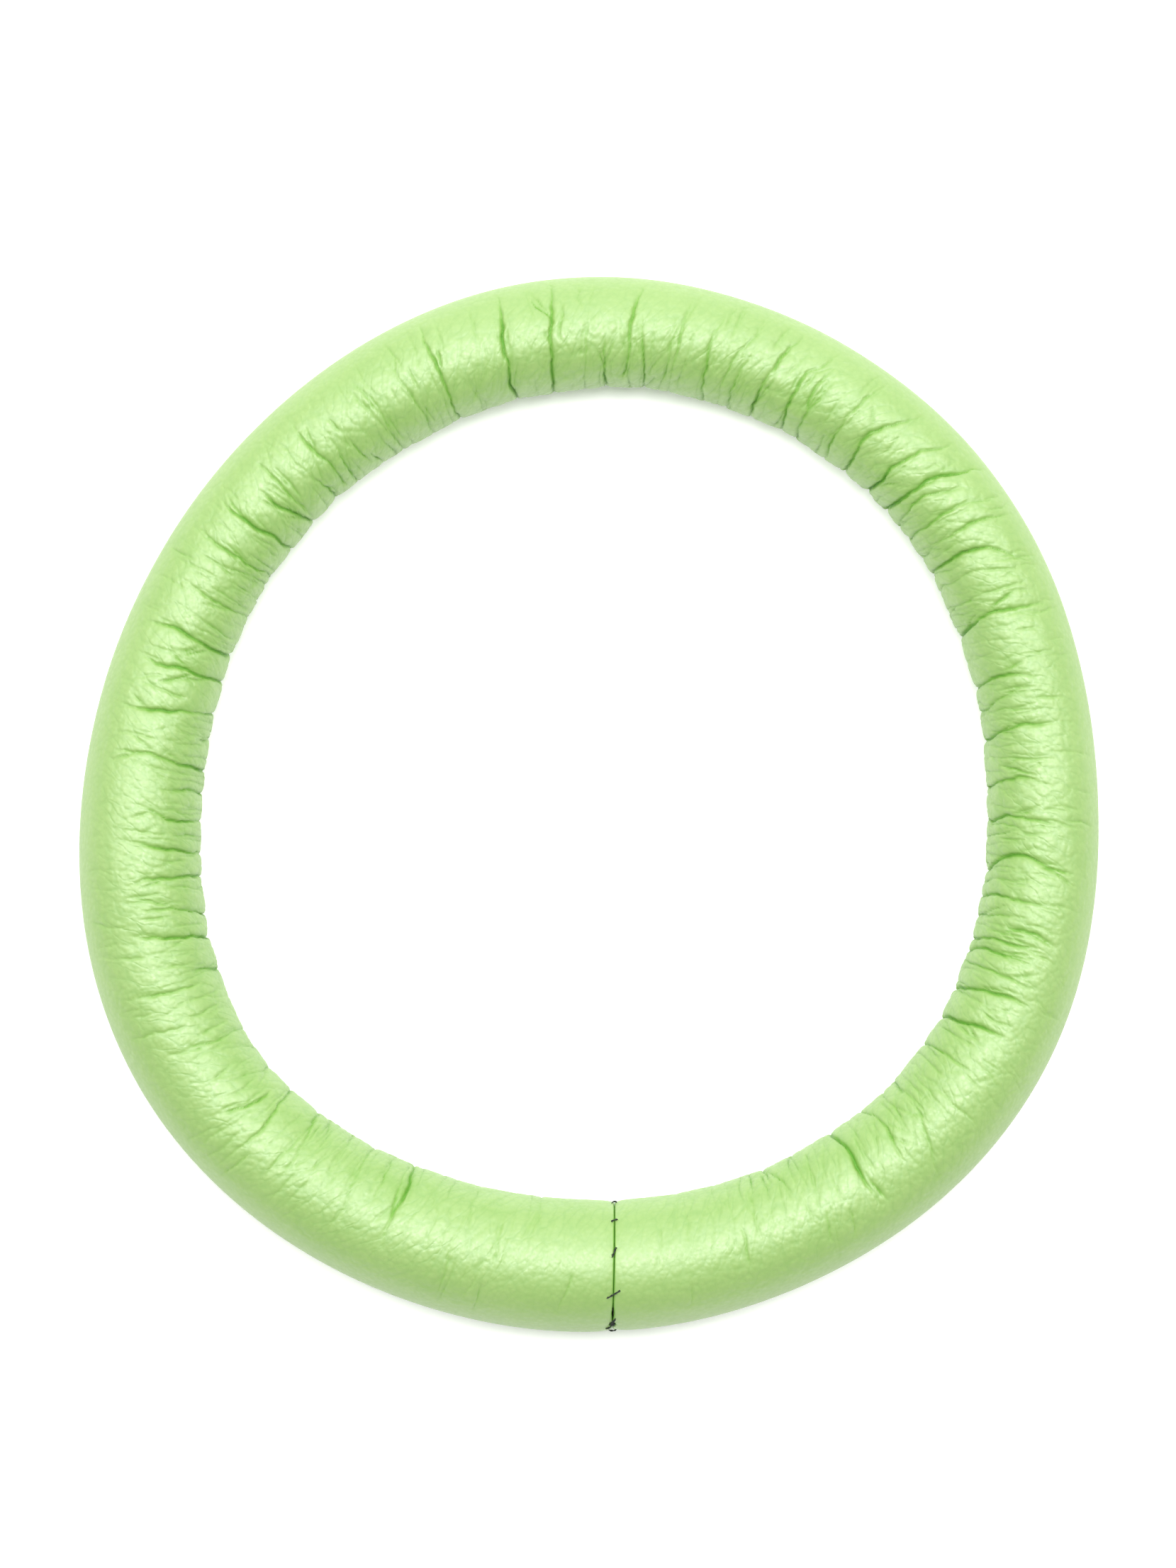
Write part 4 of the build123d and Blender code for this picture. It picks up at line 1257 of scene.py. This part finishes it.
def grow(seed_object: bpy.types.Object, tree: bpy.types.NodeTree, sizes: dict, name: str) -> bpy.types.Object:
    """Run a node tree over an object and keep the result as a plain mesh.

    Args:
        seed_object: The curve or mesh that the tree starts from, which is removed.
        tree: The tree.
        sizes: Input names with their values.
        name: The finished piece's name.

    Returns:
        The finished piece.
    """
    modifier = seed_object.modifiers.new(tree.name, "NODES")
    modifier.node_group = tree
    sockets = {item.name: item.identifier for item in tree.interface.items_tree if item.in_out == "INPUT"}
    for key, value in sizes.items():
        modifier[sockets[key]] = value
    graph = bpy.context.evaluated_depsgraph_get()
    graph.update()
    mesh = bpy.data.meshes.new_from_object(seed_object.evaluated_get(graph), depsgraph=graph)
    mesh.name = name
    mesh.polygons.foreach_set("use_smooth", np.ones(len(mesh.polygons), dtype=bool))
    seed_object.modifiers.remove(modifier)
    bpy.data.objects.remove(seed_object)
    piece = bpy.data.objects.new(name, mesh)
    bpy.context.scene.collection.objects.link(piece)
    LOG.info("%s: %d faces", name, len(mesh.polygons))
    return piece


@dataclass
class ClosingStitches:
    """The hand thread that draws the sleeve's two ends together.

    Each stitch is (angle round the sleeve, half its width, its slant in degrees).

    Attributes:
        cover: The sleeve that it closes.
        ply_radius: The radius of each of the thread's two plies.
        ply_turn: The length of thread that the plies take to twist round once.
        stitches: The stitches, in the order that the thread takes them.
    """

    cover: LeatherCover
    ply_radius: float = 0.040
    ply_turn: float = 0.75
    stitches: tuple = (
        (211, 0.40, 4),
        (173, 0.24, 3),
        (139, 0.29, 2),
        (107, 0.19, 9),
        (69, 0.55, 7),
        (35, 0.20, 8),
        (1, 0.30, 4),
        (-37, 0.46, 6),
        (-71, 0.38, 4),
        (-109, 0.44, 5),
    )

    def point(self, along: float, depth: float, turned: float) -> np.ndarray:
        """Return a point by the seam, so far along the ring and under the leather's surface."""
        form = self.cover.form
        angle = np.array([form.seam_at + float(form.turn_for(along))])
        away = np.array([max(0.0, abs(along) - self.cover.closing_gap / 2)])
        reach = self.cover.skin_radius(angle, np.maximum(away, 0.2)) - depth
        angle = angle + self.cover.seam_slant(float(turned), away)
        return form.place(angle, reach, np.array([float(turned)]))[0]

    def route(self) -> list[np.ndarray]:
        """Return the thread's points, over the seam and on under the leather."""
        over, under = -0.06, self.cover.leather + 0.2
        points = []
        for turned, half, slant in self.stitches:
            first, last = turned - slant / 2, turned + slant / 2
            points.append(self.point(-half, under, first))
            points.append(self.point(-half, self.cover.leather * 0.4, first))
            points.append(self.point(-half * 0.93, over, first))
            points.append(self.point(0.0, over - 0.06, turned))
            points.append(self.point(half * 0.93, over, last))
            points.append(self.point(half, self.cover.leather * 0.4, last))
            points.append(self.point(half, under, last))
        return points

    def curve(self, name: str, points: list[np.ndarray]) -> bpy.types.Object:
        """Make a smooth curve near the points."""
        data = bpy.data.curves.new(name, "CURVE")
        data.dimensions = "3D"
        data.resolution_u = 8
        spline = data.splines.new("NURBS")
        spline.points.add(len(points) - 1)
        for at, point in zip(spline.points, points, strict=True):
            at.co = (*(point * MM), 1.0)
        spline.order_u = 3
        spline.use_endpoint_u = True
        path = bpy.data.objects.new(name, data)
        bpy.context.scene.collection.objects.link(path)
        return path

    def sizes(self, fibres: int, length: float, seed: int, material: bpy.types.Material) -> dict:
        """Return the thread tree's inputs.

        Args:
            fibres: How many loose fibres stand on the thread.
            length: The longest fibre's length.
            seed: Seed for the fibres.
            material: The thread's material.

        Returns:
            Input names with their values.
        """
        return {
            "Ply Radius": self.ply_radius * MM,
            "Twist": 1000 * math.tau / self.ply_turn,
            "Fibres": fibres,
            "Fibre Length": length * MM,
            "Seed": seed,
            "Material": material,
        }

    def build(self, tree: bpy.types.NodeTree, material: bpy.types.Material) -> bpy.types.Object:
        """Make the thread that runs through all the stitches.

        Args:
            tree: The thread's node tree.
            material: The thread's material.

        Returns:
            The piece.
        """
        sizes = self.sizes(260, 0.32, 3, material)
        return grow(self.curve("stitch_path", self.route()), tree, sizes, "closing_stitches")

    def tails(self, tree: bpy.types.NodeTree, material: bpy.types.Material) -> bpy.types.Object:
        """Make the thread's knot and its cut end, which lies over the seam.

        Args:
            tree: The thread's node tree.
            material: The thread's material.

        Returns:
            The piece.
        """
        at = self.point
        knot = [
            at(0.02 + 0.18 * math.cos(2.4 * n), 0.12 + 0.14 * math.sin(2.4 * n), 27 + 2.4 * math.sin(1.7 * n))
            for n in range(20)
        ]
        tail = [at(-0.06, 0.06, 25), at(-0.16, -0.04, 23), at(-0.34, -0.06, 21), at(-0.50, -0.02, 20)]
        sizes = self.sizes(60, 0.30, 5, material)
        return grow(self.curve("knot_path", knot + tail), tree, sizes, "closing_knot")


@dataclass
class LongSeamThreads:
    """The two threads of the machine-sewn long seam, one stitch repeated along it.

    Attributes:
        cover: The sleeve that they close.
        thread: The threads' radius.
        pitch: The distance from one stitch to the next.
        gap: The distance between two stitches' ends.
        margin: The distance between the closing seam and the nearest stitch.
        stand_off: The distance between a stitch's ends and the leather.
    """

    cover: LeatherCover
    thread: float = 0.12
    pitch: float = 3.6
    gap: float = 0.9
    margin: float = 2.0
    stand_off: float = 0.10

    def tree(self) -> bpy.types.NodeTree:
        """Build the tree that puts one stitch on each of a row of points.

        Returns:
            The tree, with inputs Length, Depth, Thread Radius and Material.
        """
        tree = bpy.data.node_groups.new("machine_stitches", "GeometryNodeTree")
        nodes = NodeTree(tree)
        make = tree.interface.new_socket
        make("Geometry", in_out="OUTPUT", socket_type="NodeSocketGeometry")
        make("Geometry", in_out="INPUT", socket_type="NodeSocketGeometry")
        for name in ("Length", "Depth", "Thread Radius"):
            make(name, in_out="INPUT", socket_type="NodeSocketFloat")
        make("Material", in_out="INPUT", socket_type="NodeSocketMaterial")
        given = nodes.add("NodeGroupInput").outputs
        line = nodes.add("GeometryNodeCurvePrimitiveLine", {"Start": (-1, 0, 0), "End": (1, 0, 0)}).outputs[0]
        line = nodes.add("GeometryNodeResampleCurve", {"Curve": line, "Count": 25}).outputs[0]
        place = nodes.add("GeometryNodeInputPosition").outputs[0]
        split = nodes.add("ShaderNodeSeparateXYZ", {0: place}).outputs[0]
        half = nodes.add("ShaderNodeMath", {0: given["Length"], 1: 0.5}, operation="MULTIPLY").outputs[0]
        along = nodes.add("ShaderNodeMath", {0: split, 1: half}, operation="MULTIPLY").outputs[0]
        steep = nodes.add("ShaderNodeMath", {0: split, 1: 8.0}, operation="POWER").outputs[0]
        level = nodes.add("ShaderNodeMath", {0: 1.0, 1: steep}, operation="SUBTRACT").outputs[0]
        rise = nodes.add("ShaderNodeMath", {0: level, 1: given["Depth"]}, operation="MULTIPLY").outputs[0]
        spot = nodes.add("ShaderNodeCombineXYZ", {0: along, 1: rise}).outputs[0]
        shaped = nodes.add("GeometryNodeSetPosition", {"Geometry": line, "Position": spot}).outputs[0]
        ring = nodes.add(
            "GeometryNodeCurvePrimitiveCircle", {"Resolution": 8, "Radius": given["Thread Radius"]}
        ).outputs[0]
        stitch = nodes.add(
            "GeometryNodeCurveToMesh", {"Curve": shaped, "Profile Curve": ring, "Fill Caps": True}
        ).outputs[0]
        run = nodes.add("GeometryNodeInputNamedAttribute", {"Name": "run"}, data_type="FLOAT_VECTOR")
        face = nodes.add("GeometryNodeInputNamedAttribute", {"Name": "face"}, data_type="FLOAT_VECTOR")
        turn = nodes.add(
            "FunctionNodeAxesToRotation",
            {"Primary Axis": run.outputs[0], "Secondary Axis": face.outputs[0]},
            primary_axis="X",
            secondary_axis="Y",
        ).outputs[0]
        placed = nodes.add(
            "GeometryNodeInstanceOnPoints",
            {"Points": given["Geometry"], "Instance": stitch, "Rotation": turn},
        ).outputs[0]
        real = nodes.add("GeometryNodeRealizeInstances", {"Geometry": placed}).outputs[0]
        done = nodes.add("GeometryNodeSetMaterial", {"Geometry": real, "Material": given["Material"]})
        nodes.add("NodeGroupOutput", {"Geometry": done.outputs[0]})
        return tree

    def places(self, side: int) -> bpy.types.Object:
        """Make the row of points that the stitches of one thread stand on.

        Args:
            side: 1 for the thread on one side of the turned-in edges, -1 for the other.

        Returns:
            A mesh of points, with the directions of each stitch as attributes.
        """
        cover, form = self.cover, self.cover.form
        turn = math.radians(cover.long_seam_at)
        deep = cover.leather + cover.allowance / 2
        seam_reach = form.ring_radius + (form.sleeve_radius - deep) * math.cos(turn)
        count = int((math.tau * seam_reach - 2 * self.margin) // self.pitch)
        step = math.degrees(self.pitch / seam_reach)
        angle = form.seam_at + 180 + (np.arange(count) - (count - 1) / 2) * step
        spokes = form.outwards(angle)
        inward = math.cos(turn) * spokes + math.sin(turn) * UP
        face = side * (-math.sin(turn) * spokes + math.cos(turn) * UP)
        base = cover.slit / 2 + self.stand_off
        points = form.centre(angle) + (form.sleeve(angle) - deep)[:, None] * inward + base * face
        mesh = bpy.data.meshes.new("stitch_places")
        mesh.from_pydata((points * MM).tolist(), [], [])
        run = np.cross(face, inward)
        for name, vectors in (("run", run), ("face", face)):
            layer = mesh.attributes.new(name, "FLOAT_VECTOR", "POINT")
            layer.data.foreach_set("vector", vectors.astype(np.float32).ravel())
        row = bpy.data.objects.new("stitch_places", mesh)
        bpy.context.scene.collection.objects.link(row)
        return row

    def build(self, material: bpy.types.Material) -> list[bpy.types.Object]:
        """Make the needle thread and the bobbin thread.

        Args:
            material: The threads' material.

        Returns:
            The two pieces, needle thread first.
        """
        tree = self.tree()
        sizes = {
            "Length": (self.pitch - self.gap) * MM,
            "Depth": (self.cover.leather + self.thread) * MM,
            "Thread Radius": self.thread * MM,
            "Material": material,
        }
        names = ((1, "long_seam_needle_thread"), (-1, "long_seam_bobbin_thread"))
        return [grow(self.places(side), tree, sizes, name) for side, name in names]


@dataclass
class Padding:
    """What fills the sleeve: the slotted foam, and the tape round the joint in the tube.

    Attributes:
        cover: The sleeve.
        core_radius: The core tube's radius.
        wrap_radius: The tape's outside radius.
        wrap_length: How much of the tube the tape covers.
        slot: The width of the foam's slot, which the turned-in edges lie in.
        foam_gap: The gap between the foam's two ends.
        clearance: The room between the foam and what it touches.
        tape_width: How far the tape moves along in one turn.
    """

    cover: LeatherCover
    core_radius: float = 1.8
    wrap_radius: float = 2.35
    wrap_length: float = 16.0
    slot: float = 2.5
    foam_gap: float = 2.4
    clearance: float = 0.05
    tape_width: float = 4.2

    def foam(self) -> bpy.types.Object:
        """Make the foam sleeve, pressed in under the leather's creases.

        Returns:
            The piece.
        """
        form, cover = self.cover.form, self.cover
        length = math.tau * form.ring_radius - self.foam_gap
        run = np.linspace(0, length, 520)
        angle = form.seam_at + form.turn_for(self.foam_gap / 2 + run)
        outer = form.sleeve(angle)[:, None] - cover.leather - self.clearance
        from_seam = np.minimum(run, length - run) + self.foam_gap / 2
        wrapped = np.clip((self.wrap_length / 2 + 0.6 - from_seam) / 0.5, 0, 1)[:, None]
        inner = self.core_radius + self.clearance + (self.wrap_radius - self.core_radius) * wrapped
        outer_first = math.degrees(math.asin(self.slot / 2 / float(outer.mean())))
        inner_first = math.degrees(math.asin(self.slot / 2 / float(inner.max())))
        out_fan = np.linspace(outer_first, 360 - outer_first, 72)
        in_fan = np.linspace(inner_first, 360 - inner_first, 40)
        turned = (out_fan + cover.long_seam_at) % 360
        order = np.argsort(turned)
        height, _ = cover.creases.height(angle, turned[order])
        height = height[:, np.argsort(order)]
        radius = outer + 0.8 * np.minimum(height, 0.02)
        skin = form.place(angle[:, None] + 0 * out_fan, radius, np.broadcast_to(turned, radius.shape))
        bore = form.place(
            angle[:, None] + 0 * in_fan,
            np.broadcast_to(inner, (len(angle), 40)),
            np.broadcast_to((in_fan + cover.long_seam_at) % 360, (len(angle), 40)),
        )
        loop = np.concatenate((skin, bore[:, ::-1]), axis=1)
        rows, columns = loop.shape[:2]
        faces = sheet_faces(rows, columns, 0, closed=True).tolist()
        at = np.arange(rows * columns).reshape(rows, columns)
        faces += bridge(at[0, :72], at[0, 72:][::-1], False)
        faces += bridge(at[-1, :72], at[-1, 72:][::-1], True)
        return add_mesh("foam_padding", loop.reshape(-1, 3), faces)

    def tape(self) -> bpy.types.Object:
        """Make the tape, wound on a slant so that each turn overlaps the last.

        Returns:
            The piece.
        """
        form = self.cover.form
        run = np.linspace(-self.wrap_length / 2, self.wrap_length / 2, 220)
        around = np.arange(0, 360, 6.0)
        angle = form.seam_at + form.turn_for(run)
        phase = (run[:, None] / self.tape_width - around[None, :] / 360) % 1.0
        outer = self.wrap_radius - 0.22 * np.clip(phase, 0, 0.97) / 0.97 - 0.02
        inner = np.full_like(outer, self.core_radius + 0.03)
        turned = np.broadcast_to(around, outer.shape)
        wide = np.broadcast_to(angle[:, None], outer.shape)
        skin = form.place(wide, outer, turned)
        bore = form.place(wide, inner, turned)
        rows, columns = outer.shape
        faces = sheet_faces(rows, columns, 0, closed=True)
        hollow = sheet_faces(rows, columns, rows * columns, inward=True, closed=True)
        at = np.arange(2 * rows * columns).reshape(2, rows, columns)
        at = np.concatenate((at, at[:, :, :1]), axis=2)
        near = np.stack((at[0, 0, :-1], at[0, 0, 1:], at[1, 0, 1:], at[1, 0, :-1]), axis=-1)
        far = np.stack((at[0, -1, :-1], at[1, -1, :-1], at[1, -1, 1:], at[0, -1, 1:]), axis=-1)
        points = np.concatenate((skin.reshape(-1, 3), bore.reshape(-1, 3)))
        return add_mesh("joint_tape", points, np.concatenate((faces, hollow, near, far)).tolist())


@dataclass
class Studio:
    """The pale floor, the soft lights and the camera that looks straight down.

    Attributes:
        view_across: How wide the view is at the ring.
        aspect: The view's height for each unit of its width.
        lens: The camera's focal length.
        aim: The point that the camera looks at.
        floor_half: Half the length of the floor's side.
        floor_glow: How strongly the floor gives off light.
        sky: How bright the surroundings are.
    """

    view_across: float = 95.4
    aspect: float = 2212 / 1659
    lens: float = 120.0
    aim: tuple = (-0.2, 1.6, 5.0)
    floor_half: float = 1500.0
    floor_glow: float = 0.20
    sky: float = 0.38

    def floor(self) -> bpy.types.Object:
        """Make the floor, a white table that is faintly lit from below.

        Returns:
            The floor, staged.
        """
        half = self.floor_half
        corners = np.array(((-half, -half, 0), (half, -half, 0), (half, half, 0), (-half, half, 0)))
        plane = add_mesh("floor", corners, [(0, 1, 2, 3)])
        material = bpy.data.materials.new("floor_paper")
        material.use_nodes = True
        nodes = NodeTree(material.node_tree)
        place = nodes.add("ShaderNodeTexCoord").outputs["Object"]
        tooth = nodes.add("ShaderNodeTexNoise", {"Vector": place, "Scale": 900.0}).outputs["Fac"]
        bump = nodes.add("ShaderNodeBump", {"Height": tooth, "Distance": 0.01 * MM})
        shader = nodes.add(
            "ShaderNodeBsdfPrincipled",
            {
                "Base Color": (0.94, 0.94, 0.94, 1),
                "Roughness": 0.9,
                "Normal": bump.outputs[0],
                "Emission Color": (1.0, 1.0, 1.0, 1),
                "Emission Strength": self.floor_glow,
            },
        )
        nodes.add("ShaderNodeOutputMaterial", {"Surface": shader.outputs[0]})
        plane.data.materials.append(material)
        return plane

    def light(self, name: str, spot: tuple, size: float, power: float) -> None:
        """Add a soft square light that faces the ring.

        Args:
            name: The light's name.
            spot: Where it stands, in metres.
            size: The length of its side, in metres.
            power: Its power in watts.
        """
        data = bpy.data.lights.new(name, "AREA")
        data.shape = "SQUARE"
        data.size = size
        data.energy = power
        lamp = bpy.data.objects.new(name, data)
        lamp.location = spot
        facing = -np.array(spot)
        flat = math.hypot(facing[0], facing[1])
        lamp.rotation_euler = (math.atan2(flat, -facing[2]), 0.0, math.atan2(facing[0], -facing[1]) + math.pi)
        bpy.context.scene.collection.objects.link(lamp)

    def camera(self) -> None:
        """Add the camera, above the ring, facing down, with +Y up in its view."""
        data = bpy.data.cameras.new("camera")
        data.lens = self.lens
        data.sensor_width = 36.0
        data.sensor_fit = "AUTO"
        rise = self.view_across * self.aspect * self.lens / data.sensor_width
        data.clip_start = 0.01
        data.clip_end = 20.0
        camera = bpy.data.objects.new("camera", data)
        camera.location = (self.aim[0] * MM, self.aim[1] * MM, (self.aim[2] + rise) * MM)
        bpy.context.scene.collection.objects.link(camera)
        bpy.context.scene.camera = camera

    def build(self) -> None:
        """Set the whole studio up."""
        self.floor()
        self.light("back_light", (0.03, 0.50, 0.55), 1.00, 4.7)
        self.light("top_light", (0.0, 0.10, 0.80), 0.20, 3.2)
        self.light("left_light", (-0.40, 0.12, 0.56), 0.24, 1.5)
        self.light("right_light", (0.40, 0.12, 0.56), 0.24, 1.5)
        world = bpy.data.worlds.new("studio")
        world.use_nodes = True
        world.node_tree.nodes["Background"].inputs[0].default_value = (1.0, 1.0, 1.0, 1.0)
        world.node_tree.nodes["Background"].inputs[1].default_value = self.sky
        bpy.context.scene.world = world
        bpy.context.scene.view_settings.view_transform = "Standard"
        self.camera()


def settle(piece: bpy.types.Object, slot: str, *nodes: str) -> None:
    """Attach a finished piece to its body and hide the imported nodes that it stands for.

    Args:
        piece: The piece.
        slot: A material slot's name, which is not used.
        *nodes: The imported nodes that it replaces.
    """
    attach(piece, BODY)
    if nodes:
        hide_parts(*nodes)
    LOG.info("%s stands for %s", piece.name, ", ".join(nodes) or "nothing of its own")


def dress(piece: bpy.types.Object, finish: PlainFinish) -> None:
    """Give a piece one finish in place of any that it has."""
    piece.data.materials.clear()
    piece.data.materials.append(finish.make())


def main() -> None:
    """Build the wristband and its studio, piece by piece."""
    logging.basicConfig(level=logging.INFO, format="%(name)s %(message)s", force=True)
    form = RingForm()
    Studio().build()
    creases = CreaseField(form)
    creases.swell = PaddingPressure(form, creases).run()
    cover = LeatherCover(form, creases)
    sleeve = cover.build()
    sleeve.data.materials.append(LeatherFinish().make())
    sleeve.data.materials.append(FLESH_SIDE.make())
    settle(sleeve, "cover_leather", "leather_cover")

    thread = ThreadTree().build()
    dark = HAND_THREAD.make()
    stitches = ClosingStitches(cover)
    settle(stitches.build(thread, dark), "hand_thread", "closing_thread")
    settle(stitches.tails(thread, dark), "hand_thread")
    needle, bobbin = LongSeamThreads(cover).build(MACHINE_THREAD.make())
    settle(needle, "machine_thread", "seam_needle_thread")
    settle(bobbin, "machine_thread", "seam_bobbin_thread")

    padding = Padding(cover)
    foam = padding.foam()
    dress(foam, FOAM)
    settle(foam, "foam", "foam_sleeve")
    tape = padding.tape()
    dress(tape, CLOTH_TAPE)
    settle(tape, "cloth_tape", "joint_wrap")
    for node, finish in (("core_tube", TUBE_PLASTIC), ("joining_rod", ROD_PLASTIC)):
        dress(bpy.data.objects[node], finish)
        LOG.info("%s keeps its packed shape", node)


if __name__ == "__main__":
    main()
